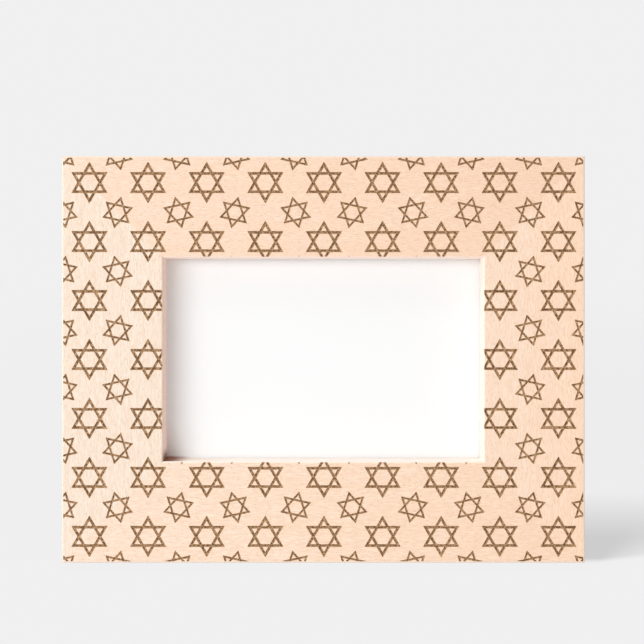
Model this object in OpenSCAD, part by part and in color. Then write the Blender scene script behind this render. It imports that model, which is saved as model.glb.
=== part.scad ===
// Tabletop picture frame in mitred beech, with six-pointed stars burnt into its face.
// Lengths are in millimetres. The frame leans back on its own easel leg, as it stands on a table.

/* [Wooden frame] */
// Width over the outer edges
frame_w = 228.6; // [200:0.1:400]
// Height over the outer edges
frame_h = 177.8; // [165:0.1:300]
// Width of each rail, seen from the front
rail_w = 44.45; // [36:0.05:60]
// Thickness of the wood, front to back
rail_t = 19.05; // [15:0.05:30]
// Radius of the eased edges around the face and the opening
arris_r = 0.9; // [0.3:0.1:3]
// Chamfer along the outer back edges
back_chamfer = 0.5; // [0.2:0.1:1.5]
// How far the wooden lip covers the pane on each side
lip_overlap = 7.1; // [4:0.1:12]
// Angle that the frame leans back
lean_angle = 12.5; // [8:0.5:18]

/* [Star etching] */
// Spacing of the large stars across the frame
star_pitch_x = 25.6; // [18:0.1:40]
// Spacing of the large stars up the frame
star_pitch_z = 25.75; // [18:0.05:40]
// Shift of the whole pattern across the frame
pattern_shift = 0.3; // [-5:0.1:5]
// Large star: from its centre to the corners of its lines
large_star_r = 8; // [5:0.05:12]
// Large star: width of the burnt line
large_line_w = 1.1; // [0.5:0.05:2]
// Small star: from its centre to the corners of its lines
small_star_r = 6.3; // [3:0.05:10]
// Small star: width of the burnt line
small_line_w = 0.95; // [0.5:0.05:2]
// Small star: tilt, to the right and to the left in turn
small_star_tilt = 12.4; // [0:0.1:30]
// Small star: sideways shift, to the left and to the right in turn
small_star_shift = 0.5; // [0:0.1:2]
// Width of the blunt end that the burning spot leaves at each tip
tip_w = 0.25; // [0.1:0.05:0.5]
// Depth of the burnt lines
etch_depth = 0.4; // [0.2:0.05:1]

/* [Sheets in the rabbet] */
// Play around the sheets in the rabbet, on each side
sheet_play = 0.8; // [0.3:0.1:2]
// Thickness of the clear pane
pane_t = 2; // [1:0.1:3]
// Thickness of the white insert
insert_t = 0.25; // [0.1:0.05:0.6]
// Thickness of the filler card
card_t = 1.2; // [0.5:0.1:2]
// Thickness of the backing board and of the easel leg
board_t = 3; // [2:0.1:4]
// Thickness of the velour facing on the board and the leg
velour_t = 0.5; // [0.3:0.1:1]

/* [Easel leg and hinge] */
// Angle between the leg and the back when it stands on its stop
open_angle = 24; // [20:0.5:32]
// Width of the leg at the hinge
leg_top_w = 30; // [26:1:40]
// Width of the leg at the floor
leg_foot_w = 56; // [40:1:70]
// Size of the cut-off corners at the top of the leg
leg_top_cut = 4; // [1:0.5:8]
// From the top edge of the backing board down to the hinge pin
hinge_drop = 15.2; // [15:0.1:40]
// Width of the hinge leaves
hinge_w = 24; // [22:1:26]
// Height of each hinge leaf, from the pin
leaf_h = 14; // [13:0.5:14.5]
// Thickness of the hinge leaves
leaf_t = 0.8; // [0.5:0.1:1]
// Radius of the hinge pin
pin_r = 1; // [0.8:0.05:1]
// Radius of the hinge pin's flattened ends
pin_head_r = 1.45; // [1.2:0.05:1.7]
// Length of each flattened end
pin_head_l = 0.6; // [0.4:0.1:1.2]
// Outer radius of the rolled knuckles
knuckle_r = 1.9; // [1.8:0.05:2.4]
// Width of the middle knuckle, which is the leg's
middle_knuckle_w = 11.6; // [8:0.2:13]
// Height of the stop tab above the pin
stop_h = 6; // [4:0.5:7]
// Radius of the rivets' shanks
rivet_r = 1.2; // [0.8:0.1:1.5]
// Radius of the rivets' heads
rivet_head_r = 2.4; // [1.8:0.1:2.6]
// Height of the rivets' heads
rivet_head_h = 0.9; // [0.5:0.1:1.2]
// From the pin to the rivets, on each leaf
rivet_reach = 10; // [9.5:0.5:11]
// Distance between the two rivets of a leaf
rivet_spacing = 15; // [14:0.5:17]

/* [Turn buttons] */
// From the rabbet's edge out to the screw
button_inset = 7; // [6:0.5:12]
// From the screw to the centre of the button's tip
button_reach = 12.5; // [10:0.5:16]
// Radius of the button around its screw
button_heel_r = 4.6; // [4:0.1:6]
// Radius of the button's tip
button_tip_r = 3.4; // [2:0.1:4]
// Thickness of the button
button_t = 1.2; // [0.8:0.1:2]
// From the rabbet's upper or lower edge to each button's screw
button_corner = 14; // [8:1:20]
// Radius of the screws' shanks
screw_r = 1.25; // [1:0.05:1.6]
// Length of the screws in the wood
screw_l = 9; // [6:0.5:12]
// Radius of the screws' heads
screw_head_r = 2.8; // [2.4:0.1:3.6]
// Height of the screws' heads
screw_head_h = 1.5; // [1.2:0.1:2]
// Length of each slot of a screw's cross recess
recess_l = 3.4; // [2.4:0.1:4]
// Width of the slots
recess_w = 0.6; // [0.4:0.1:1]
// Depth of the slots, from the top of the head
recess_d = 0.8; // [0.5:0.1:1]

/* [Hangers] */
// Length of a sawtooth hanger
hanger_l = 45; // [36:1:60]
// Height of a sawtooth hanger
hanger_h = 8; // [7:0.5:12]
// Thickness of a hanger's sheet steel
hanger_t = 0.8; // [0.5:0.1:1.2]
// Gap behind the raised middle of a hanger
hanger_gap = 1.6; // [1:0.1:3]
// Length of the raised, toothed middle
hanger_bridge = 26; // [20:1:30]
// Spacing of the teeth
tooth_pitch = 2.6; // [2:0.1:4]
// From the frame's outer edge to the middle of a hanger
hanger_inset = 10; // [8:0.5:14]
// Radius of the hanger nails' shanks
nail_r = 0.7; // [0.5:0.05:1]
// Length of the hanger nails in the wood
nail_l = 9; // [6:0.5:12]
// Radius of the hanger nails' heads
nail_head_r = 1.8; // [1.3:0.1:2.2]
// Height of the hanger nails' heads
nail_head_h = 0.6; // [0.4:0.1:1]

/* [Corner V nails] */
// Length of each wing of a V nail
v_wing = 6; // [4:0.5:8]
// Thickness of a V nail's steel
v_t = 0.5; // [0.3:0.1:0.8]
// Depth that a V nail is driven in
v_depth = 10; // [6:0.5:12]
// From the outer edges to the apex of the outer V nail
v_first = 9; // [6:0.5:12]
// From the outer edges to the apex of the inner V nail
v_second = 22; // [20:0.5:24]

/* [Clearances] */
// Radial play of a piece that turns on a pin or a screw
turn_play = 0.05; // [0.02:0.01:0.1]
// Play between flat faces that slide or turn past each other
face_play = 0.1; // [0.05:0.01:0.2]
// Gap at the stop tab when the leg stands open
stop_play = 0.05; // [0.02:0.01:0.1]
// Gap between turning edges and what they pass
swing_gap = 0.4; // [0.3:0.05:0.6]

/* [Hidden] */
$fn = 48;
// How far a cutter reaches past what it cuts
over = 1;

opening_w = frame_w - 2 * rail_w;
opening_h = frame_h - 2 * rail_w;
rabbet_w = opening_w + 2 * lip_overlap;
rabbet_h = opening_h + 2 * lip_overlap;
stack_t = pane_t + insert_t + card_t + board_t + velour_t;
pane_y = rail_t - stack_t;
insert_y = pane_y + pane_t;
card_y = insert_y + insert_t;
board_y = card_y + card_t;
velour_y = board_y + board_t;

// The hinge axis, measured from the middle of the frame's front plane
hinge_y = rail_t + knuckle_r;
hinge_z = rabbet_h / 2 - sheet_play - hinge_drop;
// Inner face of the leg's leaf from the axis, with the leg folded
leg_leaf_y = -knuckle_r + 2 * face_play;
leg_y = leg_leaf_y + leaf_t;
leg_top = knuckle_r + swing_gap;

// How far the whole frame is lifted and moved, so that it stands on z = 0 with its box centred on y = 0
lift = (rail_t - back_chamfer) * sin(lean_angle);
leg_angle = open_angle - lean_angle;
pin_height = lift + (hinge_z + frame_h / 2) * cos(lean_angle) - hinge_y * sin(lean_angle);
pin_depth = hinge_y * cos(lean_angle) + (hinge_z + frame_h / 2) * sin(lean_angle);
leg_outer_y = leg_y + board_t + velour_t;
foot_depth = pin_depth + pin_height * tan(leg_angle) + leg_outer_y / cos(leg_angle);
front_depth = arris_r * (cos(lean_angle) + sin(lean_angle) - 1);
shift = -(front_depth + foot_depth) / 2;

// Points of an arc about [cx, cy] from angle a to angle b, in four steps
function arc(cx, cy, r, a, b) = [
    for (k = [0:4]) let (t = a + (b - a) * k / 4) [cx + r * cos(t), cy + r * sin(t)]
];

// From the frame's own upright place to where it stands, leaning back
module stand() {
    translate([0, shift, lift]) rotate([-lean_angle, 0, 0]) translate([0, 0, frame_h / 2]) children();
}

// From the hinge axis, with the leg folded, to where the open leg stands, cut level with the floor
module open_leg() {
    difference() {
        stand() translate([0, hinge_y, hinge_z]) rotate([open_angle, 0, 0]) children();
        translate([-frame_w / 2, -frame_h, -frame_h]) cube([frame_w, 2 * frame_h, frame_h]);
    }
}

// A flat outline in x and z, made solid from depth y to y + t
module plate(y, t) {
    translate([0, y + t, 0]) rotate([90, 0, 0]) linear_extrude(t) children();
}

// A round bar along y
module bar_y(y, l, r) {
    translate([0, y + l, 0]) rotate([90, 0, 0]) cylinder(h = l, r = r);
}

// A round bar along x, centred
module bar_x(l, r) {
    rotate([0, 90, 0]) cylinder(h = l, r = r, center = true);
}

// A round head with a domed top, its flat side at depth y
module dome_y(y, r, h) {
    ball_r = (r * r + h * h) / (2 * h);
    intersection() {
        translate([0, y + h - ball_r, 0]) rotate([-90, 0, 0]) sphere(r = ball_r);
        bar_y(y, h, r);
    }
}

// Section of a rail: x is the depth from the front, y goes down from the outer edge (0) to the opening
module rail_section() {
    polygon(concat(
        arc(arris_r, -arris_r, arris_r, 90, 180),
        arc(arris_r, -rail_w + arris_r, arris_r, 180, 270),
        [[pane_y, -rail_w], [pane_y, -rail_w + lip_overlap], [rail_t, -rail_w + lip_overlap]],
        [[rail_t, -back_chamfer], [rail_t - back_chamfer, 0]]
    ));
}

// A mitred rail on the side of the frame that the turn gives: 0 top, 90 right, 180 bottom, -90 left
module rail(run, reach, turn) {
    outer = [run / 2 + over, reach + over];
    inner = [run / 2 - rail_w - over, reach - rail_w - over];
    difference() {
        rotate([0, turn, 0]) intersection() {
            translate([-run / 2, 0, reach]) rotate([90, 0, 90]) linear_extrude(run) rail_section();
            plate(-over, rail_t + 2 * over)
                polygon([[-outer[0], outer[1]], outer, inner, [-inner[0], inner[1]]]);
        }
        etching(run, reach, turn);
        v_nails();
        screw_shanks();
        nail_shanks();
    }
}

// Is a star at [x, z] near enough to cut this rail?
function on_rail(x, z, r, run, reach, turn) =
    let (along = abs(x * cos(turn) - z * sin(turn)), inward = reach - x * sin(turn) - z * cos(turn))
    inward > -r && inward < rail_w + r && inward - (run / 2 - along) < r * sqrt(2);

// All the burnt lines that cross one rail
module etching(run, reach, turn) {
    cols = ceil(frame_w / 2 / star_pitch_x);
    rows = ceil(frame_h / 2 / star_pitch_z);
    for (i = [-cols:cols], j = [-rows:rows]) {
        x = i * star_pitch_x + pattern_shift;
        z = j * star_pitch_z;
        if (on_rail(x, z, large_star_r, run, reach, turn))
            star(x, z, large_star_r, large_line_w, 0);
        // The small star up and to the right of this large one: neighbours shift and tilt to opposite sides
        side = (i % 2 == 0) ? -1 : 1;
        lean = ((i + j) % 2 == 0) ? 1 : -1;
        sx = x + star_pitch_x / 2 + side * small_star_shift;
        sz = z + star_pitch_z / 2;
        if (on_rail(sx, sz, small_star_r, run, reach, turn))
            star(sx, sz, small_star_r, small_line_w, lean * small_star_tilt);
    }
}

// The two burnt triangles of a star, tilted clockwise, kept to the flat of the face
module star(x, z, r, w, tilt) {
    for (turn = [0, 180]) plate(-over, over + etch_depth) intersection() {
        translate([x, z]) rotate(turn - tilt) burnt_triangle(r, w);
        flat_face();
    }
}

// The flat of the face, between the eased edges
module flat_face() {
    difference() {
        square([frame_w - 2 * arris_r, frame_h - 2 * arris_r], center = true);
        square([opening_w + 2 * arris_r, opening_h + 2 * arris_r], center = true);
    }
}

// An outlined triangle with the middle of its line on the radius r at the corners, its tips cut blunt
module burnt_triangle(r, w) {
    tip = r + w - tip_w / 2 / tan(30);
    outer = [for (k = [0:2], s = [-tip_w / 2, tip_w / 2])
        tip * [sin(120 * k), cos(120 * k)] + s * [cos(120 * k), -sin(120 * k)]];
    inner = [for (k = [0:2]) (r - w) * [sin(120 * k), cos(120 * k)]];
    polygon(concat(outer, inner), [[0, 1, 2, 3, 4, 5], [6, 7, 8]]);
}

// V nails across the mitres, two to a corner, flush with the back
module v_nails() {
    a = v_wing / sqrt(2);
    h = v_t / sqrt(2);
    for (sx = [-1, 1], sz = [-1, 1], d = [v_first, v_second]) {
        translate([sx * (frame_w / 2 - d), 0, sz * (frame_h / 2 - d)]) mirror([sx > 0 ? 0 : 1, 0, 0])
        mirror([0, 0, sz > 0 ? 0 : 1]) rotate([0, 135, 0]) plate(rail_t - v_depth, v_depth)
        polygon([[0, 0], [a, a], [a + h, a - h], [2 * h, 0], [a + h, h - a], [a, -a]]);
    }
}

// A sheet that lies in the rabbet
module sheet(y, t) {
    w = rabbet_w - 2 * sheet_play;
    h = rabbet_h - 2 * sheet_play;
    plate(y, t) translate([-w / 2, -h / 2]) square([w, h]);
}

// Places of the two rivets of a leaf, up from the axis for the board's leaf and down for the leg's
module at_rivets(up) {
    for (s = [-1, 1]) translate([s * rivet_spacing / 2, 0, up * rivet_reach]) children();
}

module board_with_holes(y, t) {
    difference() {
        sheet(y, t);
        translate([0, 0, hinge_z]) at_rivets(1) bar_y(y - over, t + 2 * over, rivet_r);
    }
}

// The leaf on the board: its face lies on the velour, with a knuckle at each end
module board_leaf() {
    side_w = (hinge_w - middle_knuckle_w) / 2;
    difference() {
        union() {
            for (s = [-1, 1]) translate([s * (hinge_w - side_w) / 2, 0, 0]) {
                bar_x(side_w, knuckle_r);
                translate([-side_w / 2, -knuckle_r, 0]) cube([side_w, leaf_t, leaf_h]);
            }
            translate([-hinge_w / 2, -knuckle_r, knuckle_r + swing_gap])
                cube([hinge_w, leaf_t, leaf_h - knuckle_r - swing_gap]);
        }
        bar_x(hinge_w + 2 * over, pin_r);
        at_rivets(1) bar_y(-knuckle_r - over, leaf_t + 2 * over, rivet_r);
    }
}

// The leaf on the leg, with the leg folded: a middle knuckle, and a tab that stops against the board's leaf
module leg_leaf() {
    barrel_w = middle_knuckle_w - 2 * face_play;
    barrel_r = knuckle_r - face_play;
    stop_y = -knuckle_r + leaf_t + stop_play;
    difference() {
        union() {
            bar_x(barrel_w, barrel_r);
            translate([-barrel_w / 2, leg_leaf_y, -leaf_h]) cube([barrel_w, leaf_t, leaf_h]);
            translate([-hinge_w / 2, leg_leaf_y, -leaf_h]) cube([hinge_w, leaf_t, leaf_h - leg_top]);
            rotate([-open_angle, 0, 0]) translate([-barrel_w / 2, stop_y, pin_r])
                cube([barrel_w, leaf_t, stop_h - pin_r]);
        }
        bar_x(hinge_w + 2 * over, pin_r + turn_play);
        at_rivets(-1) bar_y(leg_leaf_y - over, leaf_t + 2 * over, rivet_r);
    }
}

// Outline of the leg, from its top at the hinge to below the floor, where the floor then cuts it
module leg_outline() {
    floor_z = -(pin_height + knuckle_r) / cos(leg_angle);
    end_z = floor_z - 2 * (board_t + velour_t);
    flare = (leg_foot_w - leg_top_w) / 2 * (end_z + leg_top) / (floor_z + leg_top);
    polygon([
        [leg_top_w / 2 - leg_top_cut, -leg_top], [leg_top_w / 2, -leg_top - leg_top_cut],
        [leg_top_w / 2 + flare, end_z], [-leg_top_w / 2 - flare, end_z],
        [-leg_top_w / 2, -leg_top - leg_top_cut], [-leg_top_w / 2 + leg_top_cut, -leg_top]
    ]);
}

module leg_layer(y, t) {
    open_leg() difference() {
        plate(y, t) leg_outline();
        at_rivets(-1) bar_y(y - over, t + 2 * over, rivet_r);
    }
}

// Places of the four turn buttons, each turned so that its local x points into the opening
module at_button(side, level) {
    translate([side * (rabbet_w / 2 + button_inset), 0, level * (rabbet_h / 2 - button_corner)])
        rotate([0, side > 0 ? 180 : 0, 0]) children();
}

// A flat oblong plate that tapers from its screw to its tip
module turn_button() {
    lean = asin((button_heel_r - button_tip_r) / button_reach);
    button_y = rail_t + turn_play;
    difference() {
        union() {
            bar_y(button_y, button_t, button_heel_r);
            translate([button_reach, 0, 0]) bar_y(button_y, button_t, button_tip_r);
            plate(button_y, button_t) polygon([
                button_heel_r * [sin(lean), cos(lean)],
                [button_reach, 0] + button_tip_r * [sin(lean), cos(lean)],
                [button_reach, 0] + button_tip_r * [sin(lean), -cos(lean)],
                button_heel_r * [sin(lean), -cos(lean)]
            ]);
        }
        bar_y(rail_t, button_t + over, screw_r + turn_play);
    }
}

module screw_shanks() {
    for (side = [-1, 1], level = [-1, 1]) at_button(side, level) bar_y(rail_t - screw_l, screw_l, screw_r);
}

// A round-head screw with a cross recess
module screw() {
    head_y = rail_t + button_t + 2 * turn_play;
    bar_y(rail_t - screw_l, head_y - rail_t + screw_l, screw_r);
    difference() {
        dome_y(head_y, screw_head_r, screw_head_h);
        for (turn = [45, 135]) rotate([0, turn, 0])
            translate([-recess_l / 2, head_y + screw_head_h - recess_d, -recess_w / 2])
                cube([recess_l, recess_d + over, recess_w]);
    }
}

// A strip of sheet steel raised in its middle, with teeth along its lower edge
module hanger() {
    ramp = hanger_gap + hanger_t;
    teeth = floor(hanger_bridge / tooth_pitch);
    tooth = [[-tooth_pitch / 2, -over], [0, tooth_pitch / 2], [tooth_pitch / 2, -over]];
    path = [
        [-hanger_l / 2, 0], [-hanger_bridge / 2 - ramp, 0], [-hanger_bridge / 2, hanger_gap],
        [hanger_bridge / 2, hanger_gap], [hanger_bridge / 2 + ramp, 0], [hanger_l / 2, 0]
    ];
    difference() {
        translate([0, rail_t, -hanger_h / 2]) linear_extrude(hanger_h)
            polygon(concat(path, [for (k = [5:-1:0]) path[k] + [0, hanger_t]]));
        for (k = [0:teeth - 1])
            translate([(k - (teeth - 1) / 2) * tooth_pitch, 0, -hanger_h / 2])
                plate(rail_t, hanger_gap + 2 * hanger_t) polygon(tooth);
        at_hanger_nails() bar_y(rail_t - over, hanger_t + 2 * over, nail_r);
    }
}

module at_hanger_nails() {
    ramp_end = hanger_bridge / 2 + hanger_gap + hanger_t;
    for (s = [-1, 1]) translate([s * (hanger_l / 2 + ramp_end) / 2, 0, 0]) children();
}

module at_hangers() {
    translate([0, 0, frame_h / 2 - hanger_inset]) children();
    translate([frame_w / 2 - hanger_inset, 0, 0]) rotate([0, 90, 0]) children();
}

module nail_shanks() {
    at_hangers() at_hanger_nails() bar_y(rail_t - nail_l, nail_l, nail_r);
}

module top_rail() { color("#EED0AE") stand() rail(frame_w, frame_h / 2, 0); }
module bottom_rail() { color("#F2D8BA") stand() rail(frame_w, frame_h / 2, 180); }
module left_stile() { color("#F4DCC4") stand() rail(frame_h, frame_w / 2, -90); }
module right_stile() { color("#ECCFB0") stand() rail(frame_h, frame_w / 2, 90); }
module corner_v_nails() { color("#8E9194") stand() v_nails(); }
module glazing_pane() { color("#DDEBEE", 0.4) stand() sheet(pane_y, pane_t); }
module blank_insert() { color("#FAFAF8") stand() sheet(insert_y, insert_t); }
module filler_card() { color("#C9B79A") stand() sheet(card_y, card_t); }
module backing_board() { color("#A98C66") stand() board_with_holes(board_y, board_t); }
module backing_velour() { color("#2A2A2C") stand() board_with_holes(velour_y, velour_t); }
module hinge_board_leaf() { color("#B9BCC0") stand() translate([0, hinge_y, hinge_z]) board_leaf(); }
module hinge_leg_leaf() { color("#B9BCC0") open_leg() leg_leaf(); }
module easel_leg() { color("#A98C66") leg_layer(leg_y, board_t); }
module leg_velour() { color("#2A2A2C") leg_layer(leg_y + board_t, velour_t); }

module hinge_pin() {
    color("#A6A9AD") stand() translate([0, hinge_y, hinge_z]) {
        bar_x(hinge_w, pin_r);
        for (s = [-1, 1]) translate([s * (hinge_w + pin_head_l) / 2, 0, 0]) bar_x(pin_head_l, pin_head_r);
    }
}

module hinge_board_rivets() {
    color("#A6A9AD") stand() translate([0, hinge_y, hinge_z]) at_rivets(1) {
        shank = board_t + velour_t + leaf_t;
        bar_y(-knuckle_r + leaf_t - shank, shank, rivet_r);
        dome_y(-knuckle_r + leaf_t, rivet_head_r, rivet_head_h);
    }
}

module hinge_leg_rivets() {
    color("#A6A9AD") open_leg() at_rivets(-1) {
        bar_y(leg_leaf_y, leg_outer_y - leg_leaf_y, rivet_r);
        dome_y(leg_outer_y, rivet_head_r, rivet_head_h);
    }
}

module button(side, level) { color("#B9BCC0") stand() at_button(side, level) turn_button(); }
module turn_button_screws() {
    color("#A6A9AD") stand() for (side = [-1, 1], level = [-1, 1]) at_button(side, level) screw();
}

module hanger_landscape() {
    color("#C8B273") stand() translate([0, 0, frame_h / 2 - hanger_inset]) hanger();
}

module hanger_portrait() {
    color("#C8B273") stand() translate([frame_w / 2 - hanger_inset, 0, 0]) rotate([0, 90, 0]) hanger();
}

module hanger_nails() {
    color("#A6A9AD") stand() at_hangers() at_hanger_nails() {
        bar_y(rail_t - nail_l, nail_l + hanger_t, nail_r);
        bar_y(rail_t + hanger_t, nail_head_h, nail_head_r);
    }
}

top_rail();
bottom_rail();
left_stile();
right_stile();
corner_v_nails();
glazing_pane();
blank_insert();
filler_card();
backing_board();
backing_velour();
hinge_board_leaf();
hinge_pin();
hinge_board_rivets();
easel_leg();
leg_velour();
hinge_leg_leaf();
hinge_leg_rivets();
button(-1, 1);  // turn_button_left_upper
button(-1, -1);  // turn_button_left_lower
button(1, 1);  // turn_button_right_upper
button(1, -1);  // turn_button_right_lower
turn_button_screws();
hanger_landscape();
hanger_portrait();
hanger_nails();
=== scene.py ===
"""Looks of a tabletop picture frame in mitred beech, its face burnt with outlined six-pointed stars.

Panel coordinates are those of the upright frame: x to the right, y back and z up, from the middle of the
face. stand() leans them back into the row frame. Lengths are in metres."""
import math
from functools import partial

import bmesh
import bpy
import numpy as np
from bpy.props import FloatProperty, FloatVectorProperty, PointerProperty
from mathutils import Matrix, Vector
from mathutils.geometry import delaunay_2d_cdt


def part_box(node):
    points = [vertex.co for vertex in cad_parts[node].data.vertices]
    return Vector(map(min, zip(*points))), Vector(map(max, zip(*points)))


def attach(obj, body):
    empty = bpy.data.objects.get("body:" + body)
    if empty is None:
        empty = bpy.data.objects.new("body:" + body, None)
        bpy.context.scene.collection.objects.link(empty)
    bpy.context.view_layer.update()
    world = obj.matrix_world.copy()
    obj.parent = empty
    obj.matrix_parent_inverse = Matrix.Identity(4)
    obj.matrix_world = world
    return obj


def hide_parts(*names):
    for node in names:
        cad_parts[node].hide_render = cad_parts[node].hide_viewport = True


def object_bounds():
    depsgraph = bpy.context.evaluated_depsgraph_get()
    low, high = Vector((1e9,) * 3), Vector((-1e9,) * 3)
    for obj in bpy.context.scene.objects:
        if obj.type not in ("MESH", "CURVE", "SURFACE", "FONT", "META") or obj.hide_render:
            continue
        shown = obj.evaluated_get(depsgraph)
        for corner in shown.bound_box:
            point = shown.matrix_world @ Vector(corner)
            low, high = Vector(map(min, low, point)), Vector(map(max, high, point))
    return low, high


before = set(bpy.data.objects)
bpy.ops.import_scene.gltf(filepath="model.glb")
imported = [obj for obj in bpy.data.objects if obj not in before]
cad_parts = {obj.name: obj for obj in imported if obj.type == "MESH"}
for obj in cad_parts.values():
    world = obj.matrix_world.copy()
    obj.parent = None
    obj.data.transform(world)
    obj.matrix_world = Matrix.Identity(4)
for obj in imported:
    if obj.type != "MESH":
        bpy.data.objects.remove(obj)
CAD_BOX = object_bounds()

bl_info = {
    "name": "Etched beech picture frame",
    "version": (1, 0, 0),
    "blender": (4, 5, 0),
    "location": "View3D > Sidebar > Picture frame",
    "description": "Builds the finished surfaces, materials and studio stage of a tabletop picture frame",
    "category": "Object",
}

MM = 0.001
# Points closer than this are one point
MERGE = 1e-7
# Edges of the metal parts that turn by more than this stay sharp
SHARP = math.radians(35)
# How far the floor lies below the frame's feet
FLOOR_GAP = 0.05 * MM
# Steps in the arc of a rounded wooden edge, and in that of a small rim
ARC_STEPS = 4
RIM_STEPS = 3
# Even columns in a rail's surface, beside those where burnt lines cross its edges
EVEN_COLUMNS = 25
# A rail's columns stand at shares of its half length, rounded to these decimals. Two that are closer than
# SAME_SHARE are one, and those closer to a mitre than MITRE_SHARE are left out
SHARE_DECIMALS = 8
SAME_SHARE = 2e-7
MITRE_SHARE = 1e-5
# Points of a rail's face closer than SAME_POINT, in millimetres, are one, and those closer than ON_EDGE, in
# metres, to an edge of the face are on it. Both are several times the rounding of single precision
SAME_POINT = 3e-5
ON_EDGE = 5e-8
# Angle about the hinge's pin, from y, at which its rolled leaves end, after more than a full turn
ROLL_END = 360 + 112
# Share by which the depth of a screw's slots falls towards their ends
RECESS_RISE = 0.45
# Depth of a hanger's teeth as a share of their spacing, and points along its rounded ends and its ramps
TOOTH_DEPTH = 0.45
END_POINTS, RAMP_POINTS = 7, 9


def linear(hex_colour):
    """An sRGB hex colour as linear red, green and blue."""
    parts = [int(hex_colour[i : i + 2], 16) / 255 for i in (1, 3, 5)]
    return [c / 12.92 if c <= 0.04045 else ((c + 0.055) / 1.055) ** 2.4 for c in parts]


def number(name, description, value, **details):
    """A number property, with its unit or subtype as details."""
    return FloatProperty(name=name, description=description, default=value, **details)


def length(name, description, millimetres):
    """A length property whose default is given in millimetres."""
    return number(name, description, millimetres * MM, precision=5, subtype="DISTANCE", unit="LENGTH")


def angle(name, description, degrees):
    """An angle property whose default is given in degrees."""
    return number(name, description, math.radians(degrees), subtype="ANGLE", unit="ROTATION")


def colour(name, description, hex_colour):
    """A colour property whose default is given as an sRGB hex value."""
    rgb = linear(hex_colour)
    return FloatVectorProperty(
        name=name, description=description, default=rgb, size=3, min=0, max=1, subtype="COLOR"
    )


class FrameSizes(bpy.types.PropertyGroup):
    """The wooden frame and what lies in its rabbet."""

    width: length("Width", "Over the outer edges", 228.6)
    height: length("Height", "Over the outer edges", 177.8)
    rail_width: length("Rail width", "Width of each rail, seen from the front", 44.45)
    thickness: length("Thickness", "Thickness of the wood, front to back", 19.05)
    arris: length("Arris radius", "Radius of the eased edges around the face and the opening", 0.9)
    chamfer: length("Back chamfer", "Chamfer along the outer back edges", 0.5)
    lip: length("Lip", "How far the wooden lip covers the pane on each side", 7.1)
    pane_depth: length("Pane depth", "From the face back to the pane", 12.1)
    pane: length("Pane", "Thickness of the clear pane", 2)
    board: length("Board", "Thickness of the backing board and the easel leg", 3)
    play: length("Play", "Play around the sheets in the rabbet, on each side", 0.8)
    soft_edge: length("Soft edge", "Radius of the velour's rounded edges", 0.15)
    lean: angle("Lean", "Angle that the frame leans back", 12.5)
    clearance: length("Back clearance", "How far the V nails' ends stand proud of the wood's back", 0.02)


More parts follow.
